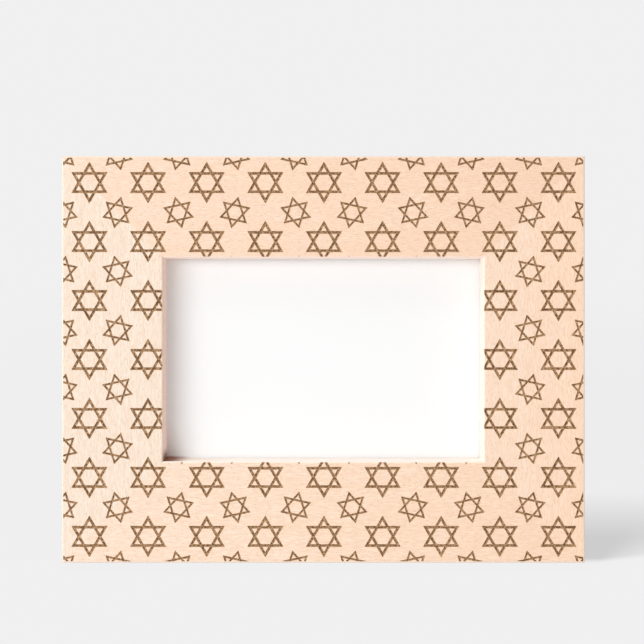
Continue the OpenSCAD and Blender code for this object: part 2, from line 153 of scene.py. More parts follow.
class HardwareSizes(bpy.types.PropertyGroup):
    """The hinge, the turn buttons and the hangers on the back."""

    velour: length("Velour", "Thickness of the velour facing", 0.5)
    hinge_width: length("Hinge width", "Width of the hinge leaves", 24)
    leaf_height: length("Leaf height", "From the pin to the end of each leaf", 14)
    leaf: length("Leaf", "Thickness of the hinge leaves", 0.8)
    knuckle: length("Knuckle", "Outer radius of the board's rolled knuckles", 1.9)
    middle_knuckle: length("Middle knuckle", "Width left free for the leg's knuckle", 11.6)
    gap: length("Gap", "Gap between turning edges and what they pass", 0.4)
    play: length("Play", "Play between flat faces that slide past each other", 0.1)
    pin: length("Pin", "Radius of the hinge pin", 1)
    pin_head: length("Pin head", "Radius of the pin's flattened ends", 1.45)
    pin_head_length: length("Pin head length", "Length of each flattened end", 0.6)
    stop: length("Stop", "Height of the stop tab above the pin", 6)
    open_angle: angle("Open angle", "Angle between the leg and the back", 24)
    rivet: length("Rivet", "Radius of the rivets' shanks", 1.2)
    rivet_head: length("Rivet head", "Radius of the rivets' heads", 2.4)
    rivet_height: length("Rivet height", "Height of the rivets' heads", 0.9)
    rivet_reach: length("Rivet reach", "From the pin to the rivets", 10)
    rivet_spacing: length("Rivet spacing", "Distance between the two rivets of a leaf", 15)
    leg_width: length("Leg width", "Width of the leg at the hinge", 30)
    leg_cut: length("Leg corners", "Size of the cut-off corners at the top of the leg", 4)
    button_x: length("Button across", "From the middle of the frame out to the buttons' screws", 83.95)
    button_z: length("Button up", "From the middle of the frame up to the buttons' screws", 37.55)
    button_reach: length("Button reach", "From the screw to the centre of the button's tip", 12.5)
    button_heel: length("Button heel", "Radius of the button around its screw", 4.6)
    button_tip: length("Button tip", "Radius of the button's tip", 3.4)
    button: length("Button", "Thickness of the button", 1.2)
    slack: length("Slack", "Small play, under and over the buttons and in the leg's knuckle", 0.05)
    screw: length("Screw", "Radius of the screws' shanks", 1.25)
    screw_length: length("Screw length", "Length of the screws in the wood", 9)
    screw_point: length("Screw point", "Length of the screws' points", 2.5)
    screw_head: length("Screw head", "Radius of the screws' heads", 2.8)
    screw_height: length("Screw height", "Height of the screws' heads", 1.5)
    recess: length("Recess", "Length of each slot of the cross recess", 3.4)
    recess_width: length("Recess width", "Width of the slots", 0.6)
    recess_depth: length("Recess depth", "Depth of the slots", 0.8)
    recess_edge: length("Recess edge", "Width of the slots' sloped edges", 0.12)
    hanger_length: length("Hanger length", "Length of a sawtooth hanger", 45)
    hanger_height: length("Hanger height", "Height of a sawtooth hanger", 8)
    hanger: length("Hanger", "Thickness of a hanger's sheet steel", 0.8)
    hanger_gap: length("Hanger gap", "Gap behind the raised middle", 1.6)
    bridge: length("Bridge", "Length of the raised, toothed middle", 26)
    tooth: length("Tooth", "Spacing of the teeth", 2.6)
    hanger_corner: length("Hanger corner", "Radius of a hanger's rounded corners", 2)
    hanger_inset: length("Hanger inset", "From the frame's outer edge to the middle of a hanger", 10)
    nail: length("Nail", "Radius of the hanger nails' shanks", 0.7)
    nail_length: length("Nail length", "Length of the hanger nails in the wood", 9)
    nail_point: length("Nail point", "Length of the nails' points", 2)
    nail_head: length("Nail head", "Radius of the nails' heads", 1.8)
    nail_height: length("Nail height", "Height of the nails' heads", 0.6)
    rim: length("Rim", "Radius of the rounded rims of the sheet metal", 0.2)


class StarSizes(bpy.types.PropertyGroup):
    """The burnt stars: large upright ones, with a small tilted one in the middle of each four."""

    pitch_x: length("Pitch across", "Spacing of the large stars across the frame", 25.6)
    pitch_z: length("Pitch up", "Spacing of the large stars up the frame", 25.75)
    shift: length("Shift", "Shift of the whole pattern across the frame", 0.3)
    large_r: length("Large star", "From its centre to the corners of its lines", 8)
    large_line: length("Large line", "Width of the large stars' burnt line", 1.21)
    small_r: length("Small star", "From its centre to the corners of its lines", 6.3)
    small_line: length("Small line", "Width of the small stars' burnt line", 0.91)
    tilt: angle("Tilt", "Tilt of the small stars, to the right and to the left in turn", 12.4)
    side_step: length("Side step", "Sideways shift of the small stars, left and right in turn", 0.5)
    drop: length("Drop", "How far the small stars lie below the middle of each four", 0.2)
    drawn_in: length("Drawn in", "Shift inwards of the small stars cut by the top or left edge", 0.5)
    tip: length("Tip", "Width of the blunt end that the burning spot leaves at each tip", 0.25)
    depth: length("Depth", "Depth of the burnt lines", 0.4)
    wall: length("Wall", "Width of the sloped wall on each side of a burnt line", 0.22)
    scorch: length("Scorch", "How far the scorched rim reaches out from a burnt line", 0.3)


class Finishes(bpy.types.PropertyGroup):
    """Colours of the real materials under an even light, and how they change. Some are painted light and
    shade: the tones and glow of the opening's cut walls, the pale outer edges and the brown lower left
    corner.
    """

    beech_top: colour("Top rail", "Beech of the top rail", "#F8E0CA")
    beech_bottom: colour("Bottom rail", "Beech of the bottom rail", "#F9E3CE")
    beech_left: colour("Left stile", "Beech of the left stile", "#F4E8D9")
    beech_right: colour("Right stile", "Beech of the right stile", "#FCE5D0")
    # Painted highlight along the outer edges of the face
    edge_sheen: colour("Rubbed edge", "Outer edges of the face, rubbed pale", "#FBF1E8")
    # Painted light and shade: tones of the opening's cut walls, pale where lit and darker where shaded
    painted_lip_wall: colour("Lip wall", "Fresh wood of the opening's edges", "#FFF4EA")
    lip_top_shaded: colour("Upper lip wall", "Wood of the opening's upper edge", "#F0DFD6")
    lip_left_shaded: colour("Left lip wall", "Wood of the opening's left edge", "#857262")
    thrown: colour("Thrown light", "Light that the pane throws back onto the opening's edges", "#FFDCD0")
    thrown_top: number("Thrown up", "Strength of the light thrown on the upper edge", 0.16)
    thrown_right: number("Thrown right", "Strength of the light thrown on the right edge", 0.06)
    thrown_bottom: number("Thrown down", "Strength of the light thrown on the lower edge", 0.08)
    thrown_left: number("Thrown left", "Strength of the light thrown on the left edge", 0.42)
    redder: number("Redder", "How much the top and bottom rails redden towards their right ends", 1.0)
    redder_right: number("Redder right", "How much the right stile reddens towards its outer edge", 0.75)
    # Painted shade: the brown that darkens the opening's lower left corner, and thinner on the insert
    painted_corner_shade: colour("Stain", "Old glue and polish in the opening's lower left corner", "#8A5A3C")
    painted_insert_shade: colour("Thin stain", "The same stain on the white insert", "#C08868")
    char_core: colour("Char core", "Darkest parts of the burnt lines", "#6F4F33")
    char_rim: colour("Char rim", "Palest parts of the burnt lines", "#BC966F")
    insert: colour("Insert", "White insert behind the pane", "#F9FAFA")
    card: colour("Card", "Filler card", "#B9AB93")
    fibreboard: colour("Fibreboard", "Backing board and easel leg", "#9A7650")
    velour: colour("Velour", "Facing of the board and the leg", "#1E1E20")
    zinc: colour("Zinc", "Zinc-plated hinge leaves and turn buttons", "#C6CACE")
    steel: colour("Steel", "Bright steel pins, rivets, screws and nails", "#C9C7C2")
    brassed: colour("Brassed steel", "Sawtooth hangers", "#CDB06A")


class StageSettings(bpy.types.PropertyGroup):
    """Camera, floor and light."""

    camera_distance: length("Camera distance", "From the camera to the face", 570)
    field_width: length("Field width", "Width of the view at the face", 281.2)
    aim_x: length("Aim across", "Where the camera looks on the face, to the right of its middle", -0.57)
    aim_z: length("Aim up", "Where the camera looks on the face, above its middle", 16.37)
    backdrop: colour("Backdrop", "Floor and backdrop as the camera sees them", "#F0F0F0")
    ambient: number("Ambient", "Strength of the light from all round", 0.555)
    key_power: number("Key light", "Power of the large soft light", 20.8, unit="POWER")
    key_distance: length("Key distance", "From the frame to the key light", 2000)
    key_width: length("Key width", "Width of the key light", 1460)
    key_height: length("Key height", "Height of the key light", 640)
    key_azimuth: angle("Key azimuth", "How far left of the front the key light stands", 32)
    key_elevation: angle("Key elevation", "How high the key light stands", 15)
    top_power: number("Top light", "Power of the light from the upper left", 10.0, unit="POWER")
    top_distance: length("Top light distance", "From the frame to the top light", 2000)
    top_width: length("Top light width", "Width of the top light", 1400)
    top_height: length("Top light height", "Height of the top light", 900)
    top_azimuth: angle("Top light azimuth", "How far left of the front the top light stands", 80)
    top_elevation: angle("Top light elevation", "How high the top light stands", 62)
    floor_power: number("Floor light", "Power of the floor's own light", 1080.0, unit="POWER")
    floor_distance: length("Floor light distance", "From the frame to the floor's light", 4000)
    floor_light_width: length("Floor light width", "Width of the light for the floor", 1300)
    floor_light_height: length("Floor light height", "Height of the light for the floor", 700)
    floor_azimuth: angle("Floor light azimuth", "How far left of the front the floor's light stands", 79)
    floor_elevation: angle("Floor light elevation", "How high the floor's light stands", 72)
    floor_bounce: number("Floor bounce", "Part of its light that the floor throws at the frame", 0.11)
    floor_shade: number("Floor shade", "Part of its light that the floor shows the camera", 0.04)
    floor_glow: number("Floor glow", "Even glow of the floor, under its shadow too", 0.59)
    front_patch: number("Front patch", "Share of the shadow under the face that is left out", 0.97)
    shadow_start: length("Shadow start", "How far behind the frame's front edge the shadow starts", 9)
    shadow_rise: length("Shadow rise", "Depth over which the shadow then sets in", 7)
    slant_start: length("Slant start", "How far beside the frame the slant begins", 10)
    slant: number("Slant", "How steeply the shadow's start slants back", 0.25)
    floor_size: length("Floor size", "Width of the floor", 6000)
    shadow_near: length("Shadow near", "How far from the frame the floor shows its full shadow", 220)
    shadow_far: length("Shadow far", "Where the floor has faded into the backdrop", 700)


def settings():
    """Four groups of properties, in the order frame, stars, finishes and stage."""
    scene = bpy.context.scene
    return scene.picture_frame, scene.burnt_stars, scene.frame_finishes, scene.studio_stage


def hardware():
    """The sizes of the hinge, the turn buttons and the hangers."""
    return bpy.context.scene.frame_hardware


# Places


def panel_origin():
    """Where the middle of the face stands in the row frame, worked out from the box of the clear pane."""
    size = bpy.context.scene.picture_frame
    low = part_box("glazing_pane")[0]
    half = size.height / 2 - size.rail_width + size.lip - size.play
    c, s = math.cos(size.lean), math.sin(size.lean)
    back = size.pane_depth + size.pane
    return Vector((0, low.y - size.pane_depth * c + half * s, low.z + back * s + half * c))


def placed(points, origin, tilt):
    """Points turned about x by tilt, then moved to the origin given."""
    c, s = math.cos(tilt), math.sin(tilt)
    turn = np.array([[1, 0, 0], [0, c, -s], [0, s, c]])
    return np.asarray(points, float) @ turn.T + np.array(origin)


def stand(points):
    """Panel coordinates turned back by the lean about x and moved to where the frame stands."""
    return placed(points, panel_origin(), -bpy.context.scene.picture_frame.lean)


def pin_centre():
    """The middle of the hinge pin in the row frame."""
    low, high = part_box("hinge_pin")
    return (low + high) / 2


def on_board(points):
    """Hinge coordinates, from the middle of the pin, carried to the frame's side of the hinge."""
    return placed(points, pin_centre(), -bpy.context.scene.picture_frame.lean)


def on_leg(points):
    """Hinge coordinates of the folded leg, carried to where the leg stands open."""
    return placed(points, pin_centre(), hardware().open_angle - bpy.context.scene.picture_frame.lean)


def arc(cu, cv, radius, start, end, steps=ARC_STEPS):
    """Points of a circular arc about (cu, cv) from one angle to another, in degrees."""
    t = np.radians(np.linspace(start, end, steps + 1))
    return np.column_stack([cu + radius * np.cos(t), cv + radius * np.sin(t)])


# Meshes


def new_piece(
    name, points, faces, material, body, replaces=(), smooth=True, sharp=None, attributes=None
):
    """A mesh piece at the origin from points in the row frame, with doubles merged and faces turned
    outwards. Where sharp is given, edges that turn by more than that angle stay sharp in a smooth piece."""
    mesh = bpy.data.meshes.new(name)
    mesh.from_pydata(np.asarray(points, float).tolist(), [], [list(map(int, f)) for f in faces])
    for key, values in (attributes or {}).items():
        layer = mesh.attributes.new(key, "FLOAT", "POINT")
        layer.data.foreach_set("value", np.asarray(values, np.float32))
    mesh.polygons.foreach_set("use_smooth", np.broadcast_to(smooth, len(mesh.polygons)).tolist())
    bm = bmesh.new()
    bm.from_mesh(mesh)
    bmesh.ops.remove_doubles(bm, verts=bm.verts, dist=MERGE)
    bmesh.ops.dissolve_degenerate(bm, edges=bm.edges, dist=MERGE)
    bmesh.ops.recalc_face_normals(bm, faces=bm.faces)
    bm.to_mesh(mesh)
    bm.free()
    mesh.validate()
    if sharp is not None:
        mesh.set_sharp_from_angle(angle=sharp)
    mesh.materials.append(material)
    piece = bpy.data.objects.new(name, mesh)
    bpy.context.scene.collection.objects.link(piece)
    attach(piece, body)
    if replaces:
        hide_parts(*replaces)
    return piece


def metal_piece(name, mesh, place, metal, body, node):
    """A smooth metal piece whose edges stay sharp, in the stead of one CAD node. Its mesh is points and
    faces, which place carries to the row frame, and its metal is a material and a slot name, which is not
    used."""
    points, faces = mesh
    material, slot = metal
    return new_piece(name, place(points), faces, material, body, [node], sharp=SHARP)


def grid_faces(rows, columns, first=0):
    """Quads between neighbouring rows of a grid whose points are numbered row by row."""
    k, c = np.meshgrid(np.arange(rows - 1), np.arange(columns - 1), indexing="ij")
    a = (first + k * columns + c).ravel()
    return np.column_stack([a, a + 1, a + columns + 1, a + columns])


def tube(rows):
    """Closed loops of points joined one to the next, with a flat face over the first and the last."""
    count, around = rows.shape[:2]
    k, c = np.meshgrid(np.arange(count - 1), np.arange(around), indexing="ij")
    a, b = (k * around + c).ravel(), (k * around + (c + 1) % around).ravel()
    sides = np.column_stack([a, b, b + around, a + around])
    ends = [np.arange(around), (count - 1) * around + np.arange(around)]
    return rows.reshape(-1, 3), [*sides, *ends]


def joined(parts):
    """Several meshes of points and faces as one."""
    starts = np.cumsum([0] + [len(points) for points, _ in parts])
    faces = [start + np.asarray(face) for start, (_, faces) in zip(starts, parts) for face in faces]
    return np.concatenate([points for points, _ in parts]), faces


def rim_levels(ease, steps=RIM_STEPS):
    """A rounded rim at angles t from 0 to 90 degrees: how far the outline shrinks, ease (1 - sin t), and
    how far in from the end that is, ease (1 - cos t)."""
    t = np.linspace(0, math.pi / 2, steps + 1)
    return ease * (1 - np.sin(t)), ease * (1 - np.cos(t))


def inward(loop):
    """For each point of a closed outline, the step that moves its edges in by one unit: the sum of the two
    edges' inner normals over one plus their cosine."""
    along = np.roll(loop, -1, axis=0) - loop
    along /= np.linalg.norm(along, axis=1)[:, None]
    x, y = loop.T
    turn = np.sign(np.sum(x * np.roll(y, -1) - np.roll(x, -1) * y))
    after = turn * np.column_stack([-along[:, 1], along[:, 0]])
    before = np.roll(after, 1, axis=0)
    return (after + before) / (1 + np.sum(after * before, axis=1))[:, None]


def carried(loop, start, end, ease_start, ease_end):
    """A flat outline carried from start to end along a third coordinate, with a rounded rim at each end."""
    shrink_a, step_a = rim_levels(ease_start)
    shrink_b, step_b = rim_levels(ease_end)
    shrink = np.concatenate([shrink_a, shrink_b[::-1]])
    level = np.concatenate([start + step_a, (end - step_b)[::-1]])
    rows = loop[None] + shrink[:, None, None] * inward(loop)[None]
    depth = np.broadcast_to(level[:, None, None], (*rows.shape[:2], 1))
    return np.concatenate([rows, depth], axis=2)


def sheet_plate(loop, front, back, ease):
    """A plate from its outline in x and z, between two depths y."""
    return carried(loop, front, back, ease, ease)[..., [0, 2, 1]]


def strip(section, start, end, ease_start=0, ease_end=0):
    """A closed mesh from its section in y and z, between two places x."""
    return tube(carried(section, start, end, ease_start, ease_end)[..., [2, 0, 1]])


def turned(profile, sides=48):
    """A round piece about y: its profile is rows of radius and y, carried round at even angles."""
    t = np.linspace(0, 2 * math.pi, sides, endpoint=False)
    r, y = np.asarray(profile, float).T
    depth = np.broadcast_to(y[:, None], (len(y), sides))
    return np.stack([np.outer(r, np.cos(t)), depth, np.outer(r, np.sin(t))], axis=2)


def hull(centres, radii, steps=8):
    """The outline round circles standing in ring order, counterclockwise: on each circle, the arc between
    the normals n of the two lines that touch it and its neighbours, where n . (next - this) is this radius
    less the next one."""
    centre, radius = np.asarray(centres, float), np.asarray(radii, float)
    step = np.roll(centre, -1, axis=0) - centre
    span = np.linalg.norm(step, axis=1)
    lean = np.arcsin((radius - np.roll(radius, -1)) / span)
    after = np.arctan2(step[:, 1], step[:, 0]) - math.pi / 2 + lean
    before = np.roll(after, 1)
    sweep = (after - before) % (2 * math.pi)
    t = before[:, None] + sweep[:, None] * np.linspace(0, 1, steps + 1)
    out = np.stack([np.cos(t), np.sin(t)], axis=2)
    return (centre[:, None] + radius[:, None, None] * out).reshape(-1, 2)


# The burnt stars


def star_table(size, star):
    """One row for each star: x, z, radius, line width and clockwise tilt. Large stars lie on a grid. A
    small one lies just below the middle of each four, shifted to one side or the other by columns, and
    tilted by turns like a chessboard. Small ones that the top or left edge cuts are drawn in a little."""
    columns = math.ceil(size.width / 2 / star.pitch_x)
    rows = math.ceil(size.height / 2 / star.pitch_z)
    i, j = np.meshgrid(np.arange(-columns, columns + 1), np.arange(-rows, rows + 1), indexing="ij")
    i, j = i.ravel(), j.ravel()
    x = i * star.pitch_x + star.shift
    z = j * star.pitch_z
    one = np.ones(len(x))
    side = np.where(i % 2 == 0, -1, 1)
    lean = np.where((i + j) % 2 == 0, 1, -1)
    large = np.column_stack([x, z, star.large_r * one, star.large_line * one, 0 * one])
    x = x + star.pitch_x / 2 + side * star.side_step
    z = z + star.pitch_z / 2 - star.drop
    x = x + star.drawn_in * (x < star.small_r - size.width / 2)
    z = z - star.drawn_in * (z > size.height / 2 - star.small_r)
    small = np.column_stack([x, z, star.small_r * one, star.small_line * one, lean * star.tilt])
    return np.concatenate([large, small])


def triangle_loop(x, z, radius, spin, cut):
    """A triangle by its corner radius, turned clockwise by spin, its corners cut off at the radius cut."""
    corners = spin + np.radians([0, 120, 240])
    out = np.column_stack([np.sin(corners), np.cos(corners)])
    if radius <= cut:
        return np.array([x, z]) + radius * out
    across = np.column_stack([out[:, 1], -out[:, 0]]) * (radius - cut) * math.tan(math.radians(30))
    ends = np.stack([cut * out - across, cut * out + across], axis=1).reshape(-1, 2)
    return np.array([x, z]) + ends


def star_loops(row, star):
    """The closed loops that shape a star's two grooves: the scorched rims, the edges, the feet of the walls
    and the middle. A loop at a distance s outside the middle of the line is a triangle whose corner radius
    is larger by 2 s."""
    x, z, radius, line, tilt = row
    edge, foot = line / 2, line / 2 - star.wall
    offsets = [edge + star.scorch, edge, foot, 0, -foot, -edge, -edge - star.scorch]
    tip = radius + 2 * edge - star.tip / 2 / math.tan(math.radians(30))
    return [
        triangle_loop(x, z, radius + 2 * s, tilt + turn, tip + max(0, s - edge))
        for turn in (0, math.pi)
        for s in offsets
        if radius + 2 * s > 0
    ]


def depth_into_line(x, z, stars, reach):
    """How far each point lies inside the nearest burnt line, from its edge: half the line's width less the
    distance to the middle of the line. The distance to a triangle is the largest of its three edge
    distances. The second result is which side of the line the point is on, from 1 at its upper left edge to
    -1 at its lower right one."""
    best, side = np.full(len(x), -reach), np.zeros(len(x))
    for sx, sz, radius, line, tilt in stars:
        near = np.flatnonzero(np.hypot(x - sx, z - sz) < radius + line + 4 * reach)
        dx, dz = x[near] - sx, z[near] - sz
        for turn in (0, math.pi):
            normals = tilt + turn + np.radians([60, 180, 300])
            edges = np.outer(dx, np.sin(normals)) + np.outer(dz, np.cos(normals))
            off = edges.max(axis=1) - radius / 2
            faced = normals[edges.argmax(axis=1)]
            upper_left = (np.cos(faced) - np.sin(faced)) * math.sqrt(0.5)
            deeper = line / 2 - np.abs(off) > best[near]
            chosen = near[deeper]
            best[chosen] = (line / 2 - np.abs(off))[deeper]
            side[chosen] = (off * upper_left)[deeper] / (line / 2)
    return best, side


# The wooden frame


def rail_profile(size):
    """Section of a rail as rows of in and y: in from the outer edge, and the depth from the face. It runs
    from the outer arris round the side, back and rabbet to the inner arris, along arcs and straight lines.
    The extra rows just under each arris are where the burnt colour ends."""
    r, w, below = size.arris, size.rail_width, 1.5 * size.arris
    back = size.thickness - size.clearance
    return np.concatenate(
        [
            arc(r, r, r, 270, 180),
            [
                (0, below),
                (0, back - size.chamfer),
                (size.chamfer, back),
                (w - size.lip, back),
                (w - size.lip, size.pane_depth),
                (w, size.pane_depth),
                (w, below),
            ],
            arc(w - r, r, r, 0, -90),
        ]
    )


def to_rail(points, reach, turn):
    """From x and z on the panel to a rail's own measures: u along it, and v in from its outer edge."""
    x, z = points.T
    out = x * math.sin(turn) + z * math.cos(turn)
    return np.column_stack([x * math.cos(turn) - z * math.sin(turn), reach - out])


def to_panel(u, v, y, reach, turn):
    """From a rail's own measures u and v, and the depth y, to panel coordinates."""
    out = reach - v
    return np.column_stack(
        [u * math.cos(turn) + out * math.sin(turn), y, out * math.cos(turn) - u * math.sin(turn)]
    )


def crossings(loops, level):
    """Where closed loops cross the line v = level: the u of each crossing, by linear interpolation."""
    found = []
    for loop in loops:
        a, b = loop, np.roll(loop, -1, axis=0)
        passes = (a[:, 1] - level) * (b[:, 1] - level) < 0
        a, b = a[passes], b[passes]
        found.append(a[:, 0] + (level - a[:, 1]) / (b[:, 1] - a[:, 1]) * (b[:, 0] - a[:, 0]))
    return np.concatenate(found)


def rail_stars(size, star, run, reach, turn):
    """The stars that touch one rail, and their groove loops in the rail's own measures."""
    stars = star_table(size, star)
    u, v = to_rail(stars[:, :2], reach, turn).T
    extent = stars[:, 2] + stars[:, 3] + star.scorch
    beside = np.abs(v - size.rail_width / 2) < size.rail_width / 2 + extent
    stars = stars[beside & (np.abs(u) - (run / 2 - v) < 2 * extent)]
    return stars, [to_rail(loop, reach, turn) for row in stars for loop in star_loops(row, star)]


def rail_columns(size, run, loops):
    """Where the columns of a rail's surface lie, as shares of its half length from -1 at one mitre to 1 at
    the other: even ones, and one wherever a loop crosses either edge of either arris."""
    levels = (size.arris, size.rail_width - size.arris, 0, size.rail_width)
    shares = [crossings(loops, level) / (run / 2 - level) for level in levels]
    shares = np.concatenate([*shares, np.linspace(-1, 1, EVEN_COLUMNS)])
    shares = np.unique(np.round(shares, SHARE_DECIMALS))
    shares = np.concatenate([[-1], shares[np.abs(shares) < 1 - MITRE_SHARE], [1]])
    return shares[np.concatenate([[True], np.diff(shares) > SAME_SHARE])]


def flat_face(size, run, loops):
    """Points u, v and triangles of a rail's flat face: its mitred outline between the two arrises,
    triangulated with every loop in it."""
    outer, inner = size.arris, size.rail_width - size.arris
    shares = rail_columns(size, run, loops)
    ring = np.concatenate(
        [
            np.column_stack([shares * (run / 2 - outer), np.full(len(shares), outer)]),
            np.column_stack([shares[::-1] * (run / 2 - inner), np.full(len(shares), inner)]),
        ]
    )
    outlines = [ring, *loops]
    starts = np.cumsum([0] + [len(o) for o in outlines])
    edges = [
        (int(s + k), int(s + (k + 1) % len(o))) for s, o in zip(starts, outlines) for k in range(len(o))
    ]
    flat = [Vector(p) for o in outlines for p in (o / MM).tolist()]
    found = delaunay_2d_cdt(flat, edges, [], 0, SAME_POINT)
    point = np.array([tuple(p) for p in found[0]]) * MM
    triangle = np.array([f for f in found[2] if len(f) == 3])
    u, v = point[triangle].mean(axis=1).T
    inside = (v > outer) & (v < inner) & (np.abs(u) < run / 2 - v)
    used, triangle = np.unique(triangle[inside], return_inverse=True)
    return point[used], triangle.reshape(-1, 3)


def section_marks(points, rows, stars, star):
    """Marks of the points of a rail's section, which is carried along it in rows. The burnt lines run out
    just over the arrises. The last rows are the cut wall of the opening: three up to its arris, then the
    arris, where it gives way to the face. The outer arris gets a painted highlight, most at its outer line."""
    into, side = depth_into_line(points[:, 0], points[:, 2], stars, star.scorch)
    into = into.reshape(rows, -1)
    into[1:-2] = -star.scorch
    cut, edge_sheen = np.zeros((2, *into.shape))
    cut[-ARC_STEPS - 4 :] = 1
    cut[-ARC_STEPS - 1 :] = np.sqrt(np.linspace(1, 0, ARC_STEPS + 1))[:, None]
    edge_sheen[: ARC_STEPS + 1] = np.sqrt(np.linspace(0, 1, ARC_STEPS + 1))[:, None]
    return {"into_line": into, "line_side": side, "painted_lip_wall": cut, "edge_sheen": edge_sheen}


def rail_surface(size, star, run, reach, turn):
    """Points, faces, smooth flags and point marks of one mitred rail, closed all round.

    Each point of the flat face is sunk by the groove's section: the burnt depth times how far the point is
    down the sloped wall. The rest is the section carried along the rail, each point of it from mitre to
    mitre at shares t of the half length run / 2 - v."""
    stars, loops = rail_stars(size, star, run, reach, turn)
    point, triangle = flat_face(size, run, loops)
    u, v = point.T
    face_panel = to_panel(u, v, np.zeros(len(point)), reach, turn)
    level, side_of_line = depth_into_line(face_panel[:, 0], face_panel[:, 2], stars, star.scorch)
    sunk = star.depth * np.clip(level / star.wall, 0, 1)

    # The section, carried from mitre to mitre, starts and ends on the face's own edge points: those are its
    # first and its last row
    rims = {}
    for row, edge in ((0, size.arris), (-1, size.rail_width - size.arris)):
        on = np.flatnonzero(np.abs(v - edge) < ON_EDGE)
        rims[row] = on[np.argsort(u[on])]
    if len(rims[0]) != len(rims[-1]):
        raise RuntimeError(f"the rail's two rims have {len(rims[0])} and {len(rims[-1])} points")
    section = rail_profile(size)
    share = u[rims[0]] / (run / 2 - size.arris)
    along = share[None, :] * (run / 2 - section[:, :1])
    across = np.repeat(section[:, :1], len(share), axis=1)
    for row, rim in rims.items():
        along[row], across[row] = u[rim], v[rim]
    depth = np.repeat(section[:, 1:], len(share), axis=1)
    rows, columns = along.shape
    first = len(point)
    index = first + np.arange(rows * columns).reshape(rows, columns)
    sweep = grid_faces(rows, columns, first)
    smooth = np.zeros((rows - 1, columns - 1), bool)
    smooth[:ARC_STEPS] = True
    smooth[-ARC_STEPS:] = True

    # Small walls close the grooves where they stop at the arris, and each mitre is one flat face
    walls = [
        np.column_stack([rim[:-1], rim[1:], index[row, 1:], index[row, :-1]]) for row, rim in rims.items()
    ]
    mitres = []
    for side, column in ((-1, 0), (1, -1)):
        on = np.flatnonzero(np.abs(side * u - (run / 2 - v)) < ON_EDGE)
        on = on[np.argsort(-v[on])]
        mitres.append(np.concatenate([index[:, column], on]))
    faces = [*triangle, *sweep, *np.concatenate(walls), *mitres]
    points = to_panel(
        np.concatenate([u, along.ravel()]),
        np.concatenate([v, across.ravel()]),
        np.concatenate([sunk, depth.ravel()]),
        reach,
        turn,
    )
    flags = np.zeros(len(faces), bool)
    flags[len(triangle) : len(triangle) + len(sweep)] = smooth.ravel()
    on_face = {"into_line": level, "line_side": side_of_line}
    section_panel = to_panel(along.ravel(), across.ravel(), np.zeros(rows * columns), reach, turn)
    marks = {
        key: np.concatenate([on_face.get(key, np.zeros(len(point))), values.ravel()])
        for key, values in section_marks(section_panel, rows, stars, star).items()
    }
    return stand(points), faces, flags, marks


# Materials

# What add_node sets on a Map Range to ease it at both ends, and on a Mix to mix colours
EASED = {"interpolation_type": "SMOOTHSTEP"}
COLOURS = {"data_type": "RGBA"}
# A Mix node's sockets for colours: how much of the second shows, the first and the second
SHARE, FIRST, SECOND = 0, 6, 7
# Most of a pattern of bumps lies between these values
BAND = (0.3, 0.7)
# How far the pattern of each rail's wood is from the next one's
SEED_STEP = (0.37, 0.11, 0.23)
# The layers of beech, from the bottom up: the size of each pattern along and across the grain, with its
# detail, roughness and distortion; the part of the pattern over which the layer sets in, and between which
# shares; and how it shades the wood's tone. The fibres are drawn coarser than real ones, so that they show
BEECH_LAYERS = {
    "figure": ((160 * MM, 7 * MM, 3, 0.55, 0.4), (0.32, 0.68, 0, 1), (0.99, 0.94, 0.87)),
    "blotch": ((34 * MM, 20 * MM, 1, 0.5), (0.35, 0.65, 0, 0.5), (1.0, 0.955, 0.955)),
    "streak": ((14 * MM, 1.3 * MM), (0.34, 0.66, 0, 0.8), (0.985, 0.9, 0.86)),
    "fibre": ((3.2 * MM, 0.42 * MM), (0.32, 0.68, 0, 1), (0.92, 0.81, 0.74)),
}
# Ray flecks: size of the cells that may hold one, where one fades out in its cell, which cells hold one,
# their share and how they shade the tone
FLECK_CELL = (2.4 * MM, 0.5 * MM)
FLECK_FADES, FLECK_HELD = (0.16, 0.34), (0.38, 0.5)
FLECK_SHARE, FLECK_SHADES = 0.75, (0.76, 0.63, 0.52)
# What the wood is multiplied by where it is least red and where it is reddest
LEAST_RED, REDDEST = (0.987, 1.02, 1.055, 1), (1.013, 0.98, 0.945, 1)
# How much the painted highlight on the edges and the painted tones of the cut walls cover the wood's tone
EDGE_SHEEN_SHARE, PAINTED_WALL_SHARE = 0.7, 0.9
# How far the burnt lines' ragged edges stray, and half the width over which they blend
STRAYS, BURNT_EDGE = (-0.13 * MM, 0.1 * MM), 0.06 * MM
# The scorched rim's share, and how it shades the tone
SCORCH_SHARE, SCORCH_SHADES = 0.3, (0.8, 0.66, 0.5)
# How dark the char is: its spots and patches, each with its size and between which amounts it varies, and
# a painted shade from its lower right side to its upper left one. It deepens between these two distances
# into the line
CHAR_PATTERNS = (((1.0 * MM, 0.8 * MM), (-0.75, 0.8)), ((9 * MM, 8 * MM, 1, 0.5), (-0.06, 0.07)))
CHAR_SIDE_SHADE = (0.3, 0.85)
CHAR_DEEPENS = (0.02 * MM, 0.3 * MM)
# Reach of the painted shade in the opening's lower left corner, across and up, and its share in the corner:
# on the wood, in the flat wedge on the insert and in the haze above it. It stays full over the first part
# of its reach
WALL_SHADE = (12 * MM, 6 * MM, 0.97)
WEDGE_SHADE = (12 * MM, 1.6 * MM, 0.95)
HAZE_SHADE = (9 * MM, 22 * MM, 0.16)
FULL_SHADE = 0.15


